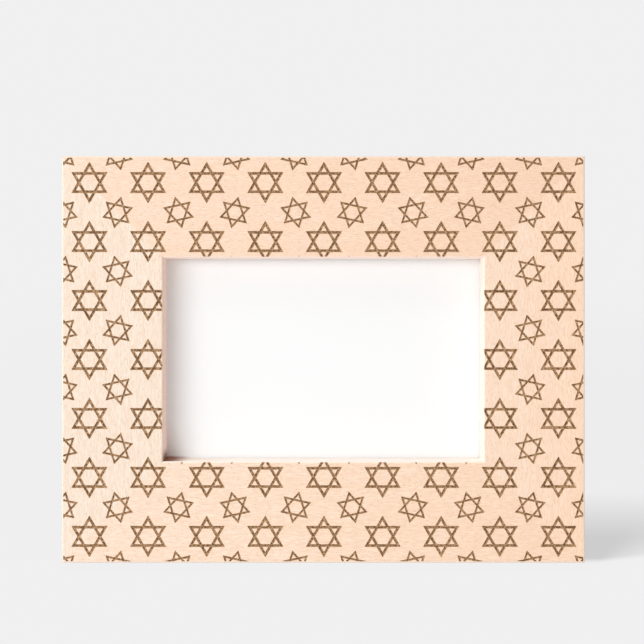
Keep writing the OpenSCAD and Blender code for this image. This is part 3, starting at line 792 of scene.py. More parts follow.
def add_node(tree, kind, inputs=(), **details):
    """Adds a node, sets its details and fills its inputs, in order or by name or number. Each gets a value,
    or a link from a socket or from the first output in use of another node."""
    node = tree.nodes.new(f"ShaderNode{kind}")
    for key, value in details.items():
        setattr(node, key, value)
    for key, value in inputs.items() if isinstance(inputs, dict) else enumerate(inputs):
        if isinstance(value, bpy.types.Node):
            value = next(socket for socket in value.outputs if socket.enabled)
        if isinstance(value, bpy.types.NodeSocket):
            tree.links.new(value, node.inputs[key])
        else:
            node.inputs[key].default_value = value
    return node


def new_material(name):
    """An empty node material, and add_node for its own tree."""
    material = bpy.data.materials.new(name)
    material.use_nodes = True
    material.node_tree.nodes.clear()
    return material, partial(add_node, material.node_tree)


def rgba(rgb, shares=(1, 1, 1)):
    """A colour, times a share of each channel, with full alpha."""
    return (*[c * share for c, share in zip(rgb, shares)], 1)


def panel_place(add, turn=0.0, offset=(0, 0, 0)):
    """Object coordinates turned back into panel coordinates, then turned so that x runs along the grain."""
    size = bpy.context.scene.picture_frame
    row = add("TexCoord").outputs["Object"]
    leaning = {"Vector": row, "Location": panel_origin(), "Rotation": (-size.lean, 0, 0)}
    panel = add("Mapping", leaning, vector_type="TEXTURE")
    return add("Mapping", {"Vector": panel, "Rotation": (0, -turn, 0), "Location": offset})


def bumps(add, place, along, across, detail=2.0, roughness=0.6, distortion=0.0):
    """A pattern from 0 to 1, around 0.5, in bumps of the given sizes along and across the grain."""
    place = add("Mapping", {"Vector": place, "Scale": (1 / along, 1 / across, 1 / across)})
    fractal = {"Scale": 1.0, "Detail": detail, "Roughness": roughness, "Distortion": distortion}
    return add("TexNoise", {"Vector": place, **fractal})


def corner_shade_share(add, across, up, most):
    """How strongly painted shade darkens the opening's lower left corner: the share most in the corner
    itself, which fades over the given lengths across and up."""
    size = bpy.context.scene.picture_frame
    corner = (size.rail_width - size.width / 2, 0, size.rail_width - size.height / 2)
    off = add("VectorMath", [panel_place(add), corner], operation="SUBTRACT")
    spread = add("VectorMath", [off, (1 / across, 0, 1 / up)], operation="MULTIPLY")
    away = add("VectorMath", [spread], operation="LENGTH")
    return add("MapRange", [away, FULL_SHADE, 1, most, 0], **EASED)


def bare_beech(add, place, tone, reddens):
    """Planed beech before it is burnt: a pale, pinkish tan wood with a faint long figure, close straight
    fibres and many short brown ray flecks along the grain. It reddens from one place across the frame to
    another. Gives its colour, and its pores, where the fibres part and the flecks lie."""
    wood, patterns = rgba(tone), {}
    for layer, (shape, sets_in, shades) in BEECH_LAYERS.items():
        patterns[layer] = bumps(add, place, *shape)
        share = add("MapRange", [patterns[layer], *sets_in], **EASED)
        wood = add("Mix", {SHARE: share, FIRST: wood, SECOND: rgba(tone, shades)}, **COLOURS)
    # The flecks are about 1.3 mm long and 0.2 mm wide, and two of three cells hold one
    long, wide = FLECK_CELL
    cells = add("Mapping", {"Vector": place, "Scale": (1 / long, 1 / wide, 1 / wide)})
    cells = add("TexVoronoi", {"Vector": cells, "Scale": 1.0, "Randomness": 1.0})
    fleck = add("MapRange", [cells, *FLECK_FADES, 1, 0], **EASED)
    held = add("MapRange", [cells.outputs["Color"], *FLECK_HELD, 0, 1], **EASED)
    fleck = add("Math", [fleck, held], operation="MULTIPLY")
    share = add("Math", [fleck, FLECK_SHARE], operation="MULTIPLY")
    wood = add("Mix", {SHARE: share, FIRST: wood, SECOND: rgba(tone, FLECK_SHADES)}, **COLOURS)
    start, end, amount = reddens
    across = add("SeparateXYZ", [panel_place(add)]).outputs["X"]
    redder = add("MapRange", [across, start, end, 0.5 - amount / 2, 0.5 + amount / 2])
    drift = add("Mix", {SHARE: redder, FIRST: LEAST_RED, SECOND: REDDEST}, **COLOURS)
    wood = add("Mix", {SHARE: 1.0, FIRST: wood, SECOND: drift}, blend_type="MULTIPLY", **COLOURS)
    return wood, add("Math", [patterns["fibre"], fleck], operation="SUBTRACT")


def charred(add, place, wood, tone):
    """Burnt lines over the wood: charred brown in spots and patches, with painted shade along their upper
    left side, ragged edges a little lighter and a faint scorch beside them. Gives the colour, how burnt
    each place is, and the char's crust."""
    star, finish = settings()[1:3]
    into = add("Attribute", attribute_name="into_line").outputs["Fac"]
    side = add("Attribute", attribute_name="line_side").outputs["Fac"]
    ragged = bumps(add, place, 0.8 * MM, 0.5 * MM)
    strayed = add("MapRange", [ragged, *BAND, *STRAYS])
    into = add("Math", [into, strayed], operation="ADD")
    burnt = add("MapRange", [into, -BURNT_EDGE, BURNT_EDGE, 0, 1], **EASED)
    scorch = add("MapRange", [into, -star.scorch, 0, 0, SCORCH_SHARE], **EASED)
    dark = 0.0
    for shape, amounts in CHAR_PATTERNS:
        pattern = add("MapRange", [bumps(add, place, *shape), *BAND, *amounts], **EASED)
        dark = add("Math", [dark, pattern], operation="ADD")
    # Painted shade: darker along each line's upper left side, lighter along its lower right one
    upper_left = add("MapRange", [side, -1, 1, *CHAR_SIDE_SHADE])
    dark = add("Math", [dark, upper_left], operation="ADD")
    deep = add("MapRange", [into, *CHAR_DEEPENS, 0, 1], **EASED)
    deep = add("Math", [deep, dark], operation="MULTIPLY")
    rim, core = rgba(finish.char_rim), rgba(finish.char_core)
    char = add("Mix", {SHARE: deep, FIRST: rim, SECOND: core}, **COLOURS)
    warm = add("Mix", {SHARE: scorch, FIRST: wood, SECOND: rgba(tone, SCORCH_SHADES)}, **COLOURS)
    shade = add("Mix", {SHARE: burnt, FIRST: warm, SECOND: char}, **COLOURS)
    return shade, burnt, add("Math", [ragged, burnt], operation="MULTIPLY")


def beech(name, tone, turn, seed, wall, glow, reddens):
    """Beech under a thin matt oil that leaves it hardly any gloss, with the burnt lines in its face. Its
    outer edges get a painted highlight. The opening's cut walls each get a painted tone for the light on
    them, and a painted glow for the light that the pane throws back, and painted shade darkens them brown
    in the opening's lower left corner."""
    finish = settings()[2]
    material, add = new_material(name)
    place = panel_place(add, turn, [seed * step for step in SEED_STEP])
    wood, pores = bare_beech(add, place, tone, reddens)
    # Painted highlight: the outer arris is paled, most at its outer line
    edge_sheen = add("Attribute", attribute_name="edge_sheen").outputs["Fac"]
    edge_sheen = add("Math", [edge_sheen, EDGE_SHEEN_SHARE], operation="MULTIPLY")
    wood = add("Mix", {SHARE: edge_sheen, FIRST: wood, SECOND: rgba(finish.edge_sheen)}, **COLOURS)
    # Painted light and shade: each cut wall of the opening takes its own tone for the light on it
    cut = add("Attribute", attribute_name="painted_lip_wall").outputs["Fac"]
    painted_wall = add("Math", [cut, PAINTED_WALL_SHARE], operation="MULTIPLY")
    wood = add("Mix", {SHARE: painted_wall, FIRST: wood, SECOND: rgba(wall)}, **COLOURS)
    # Painted shade: the cut walls darken to brown in the opening's lower left corner, below their arris
    corner_shaded = corner_shade_share(add, *WALL_SHADE)
    below_arris = add("MapRange", [cut, 0.8, 1, 0, 1], **EASED)
    below_arris = add("Math", [corner_shaded, below_arris], operation="MULTIPLY")
    wood = add("Mix", {SHARE: below_arris, FIRST: wood, SECOND: rgba(finish.painted_corner_shade)}, **COLOURS)
    # Painted light: the walls glow with light that the pane would throw back onto them, which the clear
    # sheet can't do by itself. The glow stays off the painted shade in the corner
    unshaded_wall = add("Math", [1.0, corner_shaded], operation="SUBTRACT")
    unshaded_wall = add("Math", [unshaded_wall, cut], operation="MULTIPLY")
    thrown = add("Mix", {SHARE: unshaded_wall, FIRST: (0, 0, 0, 1), SECOND: rgba(finish.thrown)}, **COLOURS)

    shade, burnt, crust = charred(add, place, wood, tone)
    pores = add("Math", [pores, 0.2], operation="MULTIPLY")
    relief = add("Math", [pores, crust], operation="ADD")
    shader = {
        "Base Color": shade,
        "Roughness": add("MapRange", [burnt, 0, 1, 0.55, 0.85]),
        "Normal": add("Bump", {"Height": relief, "Distance": 0.06 * MM, "Strength": 0.6}),
        "IOR": 1.5,
        "Specular IOR Level": 0.35,
        "Emission Color": thrown,
        "Emission Strength": glow,
    }
    add("OutputMaterial", {"Surface": add("BsdfPrincipled", shader)})
    return material


def clear_acrylic():
    """Clear acrylic sheet, cast and polished: it shows only as a faint reflection, and lamps pass straight
    through."""
    material, add = new_material("clear acrylic")
    clear = {"Base Color": (1, 1, 1, 1), "Roughness": 0.02, "IOR": 1.49, "Transmission Weight": 1.0}
    path = add("LightPath")
    lighting = [path.outputs["Is Shadow Ray"], path.outputs["Is Diffuse Ray"]]
    lighting = add("Math", lighting, operation="MAXIMUM")
    open_way = add("BsdfTransparent", {"Color": (0.97, 0.97, 0.97, 1)})
    mixed = add("MixShader", [lighting, add("BsdfPrincipled", clear), open_way])
    add("OutputMaterial", {"Surface": mixed})
    return material


def plain_sheet(name, tone, darkest, grit, roughness, relief, corner_shaded=False):
    """Paper, card or fibreboard: pressed fibres that show as a fine mottle, a grit across and a little more
    along, down to the darkest share of the tone. The insert's lower left corner gets painted shade like the
    wood beside it, in a flat wedge and faintly above."""
    material, add = new_material(name)
    mottle = bumps(add, panel_place(add), grit * 1.6, grit, 3, 0.65)
    share = add("MapRange", [mottle, *BAND, 0, 1], **EASED)
    shade = add("Mix", {SHARE: share, FIRST: rgba(tone), SECOND: rgba(tone, [darkest] * 3)}, **COLOURS)
    # Painted shade in the insert's lower left corner, in a flat wedge and a faint haze above it
    if corner_shaded:
        wedge, haze = corner_shade_share(add, *WEDGE_SHADE), corner_shade_share(add, *HAZE_SHADE)
        painted_corner_shade = add("Math", [wedge, haze], operation="MAXIMUM")
        shade = add("Mix", {SHARE: painted_corner_shade, FIRST: shade, SECOND: rgba(settings()[2].painted_insert_shade)}, **COLOURS)
    shader = {
        "Base Color": shade,
        "Roughness": roughness,
        "Normal": add("Bump", {"Height": mottle, "Distance": relief, "Strength": 0.5}),
        "Specular IOR Level": 0.3,
    }
    add("OutputMaterial", {"Surface": add("BsdfPrincipled", shader)})
    return material


def plated(name, tone, roughness, grain, contrast):
    """Sheet or wire steel with a thin metal plating: an even metallic gloss, slightly clouded, with fine
    rolling marks that break up the reflections. The clouds are four times the grain in size, and contrast
    is how much they show."""
    material, add = new_material(name)
    place = panel_place(add)
    cloud = bumps(add, place, grain * 4, grain * 4, 2, 0.5)
    marks = bumps(add, place, grain * 5, grain * 0.5, 3)
    clouded = add("MapRange", [cloud, *BAND, 0, contrast], **EASED)
    dull = rgba(tone, [0.8] * 3)
    shader = {
        "Base Color": add("Mix", {SHARE: clouded, FIRST: rgba(tone), SECOND: dull}, **COLOURS),
        "Metallic": 1.0,
        "Roughness": add("MapRange", [marks, *BAND, roughness - 0.07, roughness + 0.09]),
        "Normal": add("Bump", {"Height": marks, "Distance": 0.01 * MM, "Strength": 0.4}),
    }
    add("OutputMaterial", {"Surface": add("BsdfPrincipled", shader)})
    return material


def velour(tone):
    """Cotton velour glued to board: a short dense pile, dark and matt, with a soft bright edge at a low
    angle. The pile shows as a fine speckle, drawn at 0.35 mm where the real tufts are about 0.2 mm, and
    lies in faint strokes."""
    material, add = new_material("black cotton velour")
    place = panel_place(add)
    tufts = bumps(add, place, 0.35 * MM, 0.35 * MM, 2, 0.7)
    strokes = bumps(add, place, 9 * MM, 24 * MM, 2, 0.5)
    tufted = add("MapRange", [tufts, *BAND, 0, 1], **EASED)
    stroked = add("MapRange", [strokes, 0.35, 0.65, 0, 0.45], **EASED)
    # The pile between its tufts, on them, and where a stroke lies
    between, on_tufts, bright = [rgba(tone, [share] * 3) for share in (0.6, 1.6, 2.2)]
    shade = add("Mix", {SHARE: tufted, FIRST: between, SECOND: on_tufts}, **COLOURS)
    shader = {
        "Base Color": add("Mix", {SHARE: stroked, FIRST: shade, SECOND: bright}, **COLOURS),
        "Roughness": 0.95,
        "Normal": add("Bump", {"Height": tufts, "Distance": 0.15 * MM, "Strength": 0.7}),
        "Specular IOR Level": 0.2,
        "Sheen Weight": 0.35,
        "Sheen Roughness": 0.4,
        "Sheen Tint": rgba(linear("#8A8A90")),
    }
    add("OutputMaterial", {"Surface": add("BsdfPrincipled", shader)})
    return material


def seen_share(add):
    """1 for rays that show a surface to the camera, to a mirror or through glass, and 0 for those that
    light it."""
    path = add("LightPath")
    seen = [path.outputs["Is Camera Ray"], path.outputs["Is Glossy Ray"]]
    seen = add("Math", seen, operation="MAXIMUM")
    return add("Math", [seen, path.outputs["Is Transmission Ray"]], operation="MAXIMUM")


def dress(node, material, slot):
    """Gives a CAD node a material in all its slots. Its slot argument is not used."""
    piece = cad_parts[node]
    piece.data.materials.clear()
    piece.data.materials.append(material)


class PICTURE_FRAME_OT_rails(bpy.types.Operator):
    """Build the four mitred beech rails with their burnt stars"""

    bl_idname = "picture_frame.rails"
    bl_label = "Beech rails"

    def execute(self, context):
        size, star, finish, _ = settings()
        # Between which places across the frame a wood reddens, and how much
        half = size.width / 2
        evenly = (-half, half, finish.redder)
        outwards = (half - size.rail_width, half, finish.redder_right)
        nowhere = (-half, half, 0)
        # Length, reach from the middle, turn in degrees, tone, painted tone of the cut wall for the light
        # on it, its painted glow and reddening
        wide, high = (size.width, size.height / 2), (size.height, half)
        sides = {
            "top_rail": (*wide, 0, finish.beech_top, finish.lip_top_shaded, finish.thrown_top, evenly),
            "right_stile": (*high, 90, finish.beech_right, finish.painted_lip_wall, finish.thrown_right, outwards),
            "bottom_rail": (*wide, 180, finish.beech_bottom, finish.painted_lip_wall, finish.thrown_bottom, evenly),
            "left_stile": (*high, -90, finish.beech_left, finish.lip_left_shaded, finish.thrown_left, nowhere),
        }
        for seed, (node, (run, reach, degrees, tone, wall, glow, reddens)) in enumerate(sides.items(), 1):
            turn = math.radians(degrees)
            points, faces, smooth, marks = rail_surface(size, star, run, reach, turn)
            name = f"oiled beech, {node.replace('_', ' ')}"
            wood = beech(name, tone, turn, seed, wall, glow, reddens)
            new_piece(
                f"beech_{node}", points, faces, wood, "frame", [node], smooth, attributes=marks
            )
        return {"FINISHED"}


class PICTURE_FRAME_OT_sheets(bpy.types.Operator):
    """Finish the pane, the white insert, the filler card and the boards"""

    bl_idname = "picture_frame.sheets"
    bl_label = "Pane, insert and boards"

    def execute(self, context):
        finish = settings()[2]
        dress("glazing_pane", clear_acrylic(), "clear_pane")
        paper = plain_sheet(
            "smooth white card", finish.insert, 0.99, 0.3 * MM, 0.6, 0.004 * MM, corner_shaded=True
        )
        dress("blank_insert", paper, "white_paper")
        card = plain_sheet("grey chipboard", finish.card, 0.76, 0.6 * MM, 0.8, 0.03 * MM)
        dress("filler_card", card, "grey_card")
        fibre = plain_sheet("fibreboard", finish.fibreboard, 0.64, 0.5 * MM, 0.75, 0.05 * MM)
        dress("backing_board", fibre, "fibreboard")
        dress("easel_leg", fibre, "fibreboard")
        return {"FINISHED"}


def ring_angle(near, radius):
    """Where a circle about the pin meets the depth near, as an angle from y, on the leaf's side of the
    pin."""
    return math.degrees(math.acos(max(-1, near / radius)))


def rolled_section(near, far, outer, inner, top):
    """Section of a leaf rolled round its pin, in y and z: down the near face, round the pin in a circle of
    the outer radius to the roll's open end, back in a circle of the inner radius, and up the far face."""
    return np.concatenate(
        [
            [(near, top)],
            arc(0, 0, outer, ring_angle(near, outer), ROLL_END, steps=40),
            arc(0, 0, inner, ROLL_END, ring_angle(far, inner), steps=32),
            [(far, top)],
        ]
    )


def leg_outline(inset, depth):
    """The leg's outline in x and z at one depth, moved in by inset: cut-off upper corners, sides that flare
    to the foot's width, and a foot cut level with the floor."""
    hinge, tilt = hardware(), hardware().open_angle - bpy.context.scene.picture_frame.lean
    up = pin_centre().z
    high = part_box("easel_leg")[1]
    half, cut, top = hinge.leg_width / 2, hinge.leg_cut, -(hinge.knuckle + hinge.gap)
    board_back = leg_depths()[1]
    foot = -(up + depth * math.sin(tilt)) / math.cos(tilt)
    widest = -(up + board_back * math.sin(tilt)) / math.cos(tilt)
    slope = (high.x - half) / (top - cut - widest)
    right = [(half + slope * (top - cut - foot), foot), (half, top - cut), (half - cut, top)]
    loop = np.array([*right, *[(-x, z) for x, z in right[::-1]]])
    return loop + inset * inward(loop)


def leg_depths():
    """Depths of the folded leg's layers from the pin: the board's front and back, and the velour's back."""
    hinge, size = hardware(), bpy.context.scene.picture_frame
    front = -hinge.knuckle + 2 * hinge.play + hinge.leaf
    return front, front + size.board, front + size.board + hinge.velour


def leg_facing_rows(front, back, ease):
    """The leg's facing between two depths, with rounded edges. It ends level with the floor, so each of its
    loops has its own foot."""
    shrink, step = rim_levels(ease)
    insets = np.concatenate([shrink, shrink[::-1]])
    depths = np.concatenate([front + step, (back - step)[::-1]])
    loops = [leg_outline(inset, depth) for inset, depth in zip(insets, depths)]
    return np.stack([np.insert(loop, 1, depth, axis=1) for loop, depth in zip(loops, depths)])


class PICTURE_FRAME_OT_velour(bpy.types.Operator):
    """Face the backing board and the easel leg with velour"""

    bl_idname = "picture_frame.velour"
    bl_label = "Velour facings"

    def execute(self, context):
        size, _, finish, _ = settings()
        hinge = hardware()
        cloth = velour(finish.velour)
        half = [extent / 2 - size.rail_width + size.lip - size.play for extent in (size.width, size.height)]
        corners = np.array([(1, 1), (-1, 1), (-1, -1), (1, -1)]) * half
        points, faces = tube(
            sheet_plate(corners, size.thickness - hinge.velour, size.thickness, size.soft_edge)
        )
        facing = new_piece(
            "velour_board_facing",
            stand(points),
            faces,
            cloth,
            "frame",
            ["backing_velour"],
            False,
        )

        _, front, back = leg_depths()
        points, faces = tube(leg_facing_rows(front, back, size.soft_edge))
        facing = new_piece(
            "velour_leg_facing", on_leg(points), faces, cloth, "leg", ["leg_velour"], False
        )
        flat = leg_outline(0, (front + back) / 2)
        return {"FINISHED"}


def dome_profile(seat, radius, height, steps=10):
    """Radius and y of a domed head that stands on the depth seat: a ball's cap of the given radius and
    height."""
    ball = (radius * radius + height * height) / (2 * height)
    t = np.linspace(math.asin(radius / ball), 0, steps + 1)
    return np.column_stack([ball * np.sin(t), seat + height - ball + ball * np.cos(t)])


def board_leaf(hinge):
    """The hinge's leaf on the board: a rolled strip at each side and the plate between them."""
    half, rim, mid = hinge.hinge_width / 2, hinge.rim, hinge.middle_knuckle / 2
    top, clear = hinge.leaf_height, hinge.knuckle + hinge.gap
    near, far = -hinge.knuckle, -hinge.knuckle + hinge.leaf
    roll = rolled_section(near, far, hinge.knuckle, hinge.pin + hinge.play, top)
    plate = np.array([(near, top), (near, clear), (far, clear), (far, top)])
    return joined([strip(roll, -half, -mid, rim), strip(plate, -mid, mid), strip(roll, mid, half, 0, rim)])


def leg_leaf(hinge):
    """The hinge's leaf on the leg, folded: it hangs below the pin, rolled in its middle, and carries the
    stop tab, which stands upright once the leg is open."""
    half, rim, barrel = hinge.hinge_width / 2, hinge.rim, hinge.middle_knuckle / 2 - hinge.play
    top, clear = hinge.leaf_height, hinge.knuckle + hinge.gap
    near, far = -hinge.knuckle + 2 * hinge.play, -hinge.knuckle + 2 * hinge.play + hinge.leaf
    outer, inner = hinge.knuckle - hinge.play, hinge.pin + hinge.slack
    roll = rolled_section(near, far, outer, inner, top) * [1, -1]
    plate = np.array([(near, -top), (near, -clear), (far, -clear), (far, -top)])
    tab = np.array([(0, hinge.pin), (0, hinge.stop), (hinge.leaf, hinge.stop), (hinge.leaf, hinge.pin)])
    tab += [-hinge.knuckle + hinge.leaf + hinge.slack, 0]
    points, faces = strip(tab, -barrel, barrel, rim, rim)
    parts = [
        strip(plate, -half, -barrel, rim),
        strip(roll, -barrel, barrel),
        strip(plate, barrel, half, 0, rim),
        (placed(points, (0, 0, 0), -hinge.open_angle), faces),
    ]
    return joined(parts)


def flattened_pin(hinge):
    """The hinge's pin, its ends flattened over the knuckles."""
    half, head = hinge.hinge_width / 2, hinge.pin_head
    end = half + hinge.pin_head_length
    shrink, step = rim_levels(hinge.rim)
    cap = np.column_stack([head - shrink, -end + step])
    side = [(0, -end), *cap, (head, -half), (hinge.pin, -half)]
    profile = np.array([*side, *[(r, -x) for r, x in side[::-1]]])
    return tube(turned(profile, sides=32)[..., [1, 0, 2]])


def rivet_pair(hinge, seat, tail, up):
    """Two rivets beside each other, above the pin or, with up at -1, below it: a domed head on the depth
    seat, and a shank that ends flush at the depth tail."""
    dome = dome_profile(seat, hinge.rivet_head, hinge.rivet_height)
    profile = np.array([(0, tail), (hinge.rivet, tail), (hinge.rivet, seat), *dome])
    across, height = hinge.rivet_spacing / 2, up * hinge.rivet_reach
    return joined([tube(turned(profile, sides=36) + [x, 0, height]) for x in (-across, across)])


class PICTURE_FRAME_OT_hinge(bpy.types.Operator):
    """Build the hinge: two rolled leaves, the pin and the rivets"""

    bl_idname = "picture_frame.hinge"
    bl_label = "Leg hinge"

    def execute(self, context):
        size, _, finish, _ = settings()
        hinge = hardware()
        zinc = plated("bright zinc-plated steel", finish.zinc, 0.3, 1.2 * MM, 0.7), "zinc_plate"
        steel = plated("bright steel", finish.steel, 0.26, 0.8 * MM, 0.5), "bright_steel"
        metal_piece("hinge_leaf_board", board_leaf(hinge), on_board, zinc, "frame", "hinge_board_leaf")
        metal_piece("hinge_leaf_leg", leg_leaf(hinge), on_leg, zinc, "leg", "hinge_leg_leaf")
        metal_piece("hinge_pin_flattened", flattened_pin(hinge), on_board, steel, "frame", "hinge_pin")

        # The heads lie on the board's leaf and on the leg's back, and the shanks end flush behind them
        near = -hinge.knuckle
        pair = rivet_pair(hinge, near + hinge.leaf, near - hinge.velour - size.board, 1)
        metal_piece("hinge_rivets_board", pair, on_board, steel, "frame", "hinge_board_rivets")
        pair = rivet_pair(hinge, leg_depths()[2], near + 2 * hinge.play, -1)
        metal_piece("hinge_rivets_leg", pair, on_leg, steel, "leg", "hinge_leg_rivets")
        dress("corner_v_nails", *steel)
        return {"FINISHED"}


def screw_head(seat):
    """Rows of points of a round-head screw: its shank and a domed head, sunk by two crossed slots. The
    slots' depth is the recess depth times how far a point is inside the slot's length and width, and it
    falls towards their ends."""
    screw = hardware()
    dome = dome_profile(seat, screw.screw_head, screw.screw_height, steps=36)
    start = seat - screw.screw_length - screw.button
    shank = [(0, start), (screw.screw, start + screw.screw_point), (screw.screw, seat)]
    rows = turned(np.array([*shank, (screw.screw_head, seat), *dome]), sides=120)
    top = rows[len(shank) + 1 :]
    soft = screw.recess_edge
    sunk = np.zeros(top.shape[:2])
    for turn in (math.radians(45), math.radians(135)):
        p = np.abs(top[..., 0] * math.cos(turn) + top[..., 2] * math.sin(turn))
        q = np.abs(top[..., 2] * math.cos(turn) - top[..., 0] * math.sin(turn))
        share = np.clip((screw.recess_width / 2 - q) / soft + 0.5, 0, 1)
        share = share * np.clip((screw.recess / 2 - p) / soft + 0.5, 0, 1)
        taper = 1 - RECESS_RISE * np.clip(2 * p / screw.recess, 0, 1) ** 2
        sunk = np.maximum(sunk, share * taper)
    top[..., 1] -= screw.recess_depth * sunk
    return rows


class PICTURE_FRAME_OT_buttons(bpy.types.Operator):
    """Build the four turn buttons and their screws"""

    bl_idname = "picture_frame.buttons"
    bl_label = "Turn buttons"

    def execute(self, context):
        size, _, finish, _ = settings()
        part = hardware()
        zinc = plated("bright zinc-plated steel, turn buttons", finish.zinc, 0.3, 1.2 * MM, 0.7)
        steel = plated("bright steel screws", finish.steel, 0.28, 0.8 * MM, 0.5), "bright_steel"
        front = size.thickness + part.slack
        outline = hull([(0, 0), (part.button_reach, 0)], [part.button_heel, part.button_tip], steps=24)
        flat = sheet_plate(outline, front, front + part.button, part.rim)
        head = screw_head(front + part.button + part.slack)
        heads = []
        for side, across in (("left", -1), ("right", 1)):
            for level, up in (("upper", 1), ("lower", -1)):
                middle = np.array([across * part.button_x, 0, up * part.button_z])
                plate = tube(flat * [-across, 1, 1] + middle)
                name = f"{side}_{level}"
                body, node = f"button_{name}", f"turn_button_{name}"
                metal_piece(f"button_plate_{name}", plate, stand, (zinc, "zinc_plate"), body, node)
                heads.append(tube(head + middle))
        metal_piece("button_screws", joined(heads), stand, steel, "frame", "turn_button_screws")
        return {"FINISHED"}


def hanger_rows():
    """A sawtooth hanger as loops across a strip, one at each station x. The strip is raised in its middle
    along an eased ramp, its ends are rounded, and its lower edge is cut to teeth nearly half as deep as
    they are wide."""
    part = hardware()
    half, high = part.hanger_length / 2, part.hanger_height / 2
    ramp = part.hanger_gap + part.hanger
    # As many whole teeth as the bridge holds, whatever the rounding of its length
    teeth = int(part.bridge / part.tooth + 1e-6)
    edges = (np.arange(-teeth, teeth + 1) / 2) * part.tooth
    corner, deepest = part.hanger_corner, TOOTH_DEPTH * part.tooth
    t = np.linspace(0, math.pi / 2, END_POINTS)
    ends = half - corner * (1 - np.sin(t))
    slope = np.linspace(part.bridge / 2, part.bridge / 2 + ramp, RAMP_POINTS)
    x = np.unique(np.round(np.concatenate([-ends, -slope, edges, slope, ends]), 8))
    # Teeth: the cut is deepest at each tooth's middle, and none beyond the last one
    fold = np.abs(x / part.tooth + teeth / 2 - np.floor(x / part.tooth + teeth / 2) - 0.5) * 2
    cut = np.where(np.abs(x) < teeth * part.tooth / 2, (1 - fold) * deepest, 0)
    into = np.clip((np.abs(x) - (half - corner)) / corner, 0, 1)
    rounded = corner * (1 - np.sqrt(1 - into**2))
    low, top = -high + cut + rounded, high - rounded
    share = np.clip((part.bridge / 2 + ramp - np.abs(x)) / ramp, 0, 1)
    raised = part.hanger_gap * share * share * (3 - 2 * share)
    shrink, step = rim_levels(part.rim)
    inset = np.concatenate([shrink, shrink[::-1]])
    y = np.concatenate([step, (part.hanger - step)[::-1]])
    z_low = low[:, None] + inset[None]
    z_top = top[:, None] - inset[None, ::-1]
    z = np.concatenate([z_low, z_top], axis=1)
    y = np.concatenate([y, y[::-1]])
    return np.stack([np.broadcast_to(x[:, None], z.shape), raised[:, None] + y[None], z], axis=2)


def hanger_nail(wood):
    """Rows of points of a hanger's nail, driven into the wood at the given depth: a point, a shank and a
    flat head with a rounded rim."""
    part = hardware()
    seat, tip = wood + part.hanger, wood - part.nail_length
    shrink, step = rim_levels(part.rim)
    rim = np.column_stack([part.nail_head - shrink[::-1], seat + part.nail_height - step[::-1]])
    profile = [(0, tip), (part.nail, tip + part.nail_point)]
    profile += [(part.nail, seat), (part.nail_head, seat), *rim, (0, seat + part.nail_height)]
    return turned(np.array(profile), sides=32)


class PICTURE_FRAME_OT_hangers(bpy.types.Operator):
    """Build the two sawtooth hangers and their nails"""

    bl_idname = "picture_frame.hangers"
    bl_label = "Sawtooth hangers"

    def execute(self, context):
        size, _, finish, _ = settings()
        part = hardware()
        brass = plated("brass-plated steel", finish.brassed, 0.27, 1.0 * MM, 0.6), "brassed_steel"
        steel = plated("bright steel nails", finish.steel, 0.28, 0.8 * MM, 0.5), "bright_steel"
        hanger = hanger_rows() + [0, size.thickness, 0]
        nail = hanger_nail(size.thickness)
        ramp_end = part.bridge / 2 + part.hanger_gap + part.hanger
        out = (part.hanger_length / 2 + ramp_end) / 2
        nails = []
        places = {
            "hanger_landscape": ([0, 0, size.height / 2 - part.hanger_inset], 0),
            "hanger_portrait": ([size.width / 2 - part.hanger_inset, 0, 0], math.pi / 2),
        }
        for node, (middle, turn) in places.items():
            c, s = math.cos(turn), math.sin(turn)
            about_y = np.array([[c, 0, s], [0, 1, 0], [-s, 0, c]])
            made = tube(hanger @ about_y.T + middle)
            metal_piece(f"sawtooth_{node}", made, stand, brass, "frame", node)
            for side in (-1, 1):
                nails.append(tube((nail + [side * out, 0, 0]) @ about_y.T + middle))
        metal_piece("hanger_nail_heads", joined(nails), stand, steel, "frame", "hanger_nails")
        return {"FINISHED"}


def squared_camera(size, stage):
    """A camera that looks squarely at the leaning face."""
    c, s = math.cos(size.lean), math.sin(size.lean)
    eye = stand([[stage.aim_x, -stage.camera_distance, stage.aim_z]])[0]
    data = bpy.data.cameras.new("camera")
    data.lens = data.sensor_width * stage.camera_distance / stage.field_width
    camera = bpy.data.objects.new("camera", data)
    turn = Matrix(((1, 0, 0), (0, s, -c), (0, c, s)))
    camera.matrix_world = Matrix.Translation(eye) @ turn.to_4x4()
    return camera


def soft_lamp(name, place, extent, power):
    """A rectangular lamp of the given width and height that faces the frame. Its place is the angles left
    of the front and up, from the middle of the face, and the distance."""
    azimuth, elevation, distance = place
    level = math.cos(elevation)
    toward = Vector((-math.sin(azimuth) * level, -math.cos(azimuth) * level, math.sin(elevation)))
    light = bpy.data.lights.new(name, "AREA")
    light.shape = "RECTANGLE"
    light.size, light.size_y = extent
    light.energy = power
    lamp = bpy.data.objects.new(name, light)
    lamp.location = panel_origin() + toward * distance
    lamp.rotation_mode = "QUATERNION"
    lamp.rotation_quaternion = (-toward).to_track_quat("-Z", "Y")
    return lamp


def studio_world(stage):
    """The world lights evenly, and is seen as the pale backdrop."""
    world = bpy.data.worlds.new("studio")
    world.use_nodes = True
    world.node_tree.nodes.clear()
    add = partial(add_node, world.node_tree)
    even = add("Background", {"Color": (1, 1, 1, 1), "Strength": stage.ambient})
    shown = add("Background", {"Color": rgba(stage.backdrop), "Strength": 1.0})
    add("OutputWorld", {"Surface": add("MixShader", [seen_share(add), even, shown])})
    return world


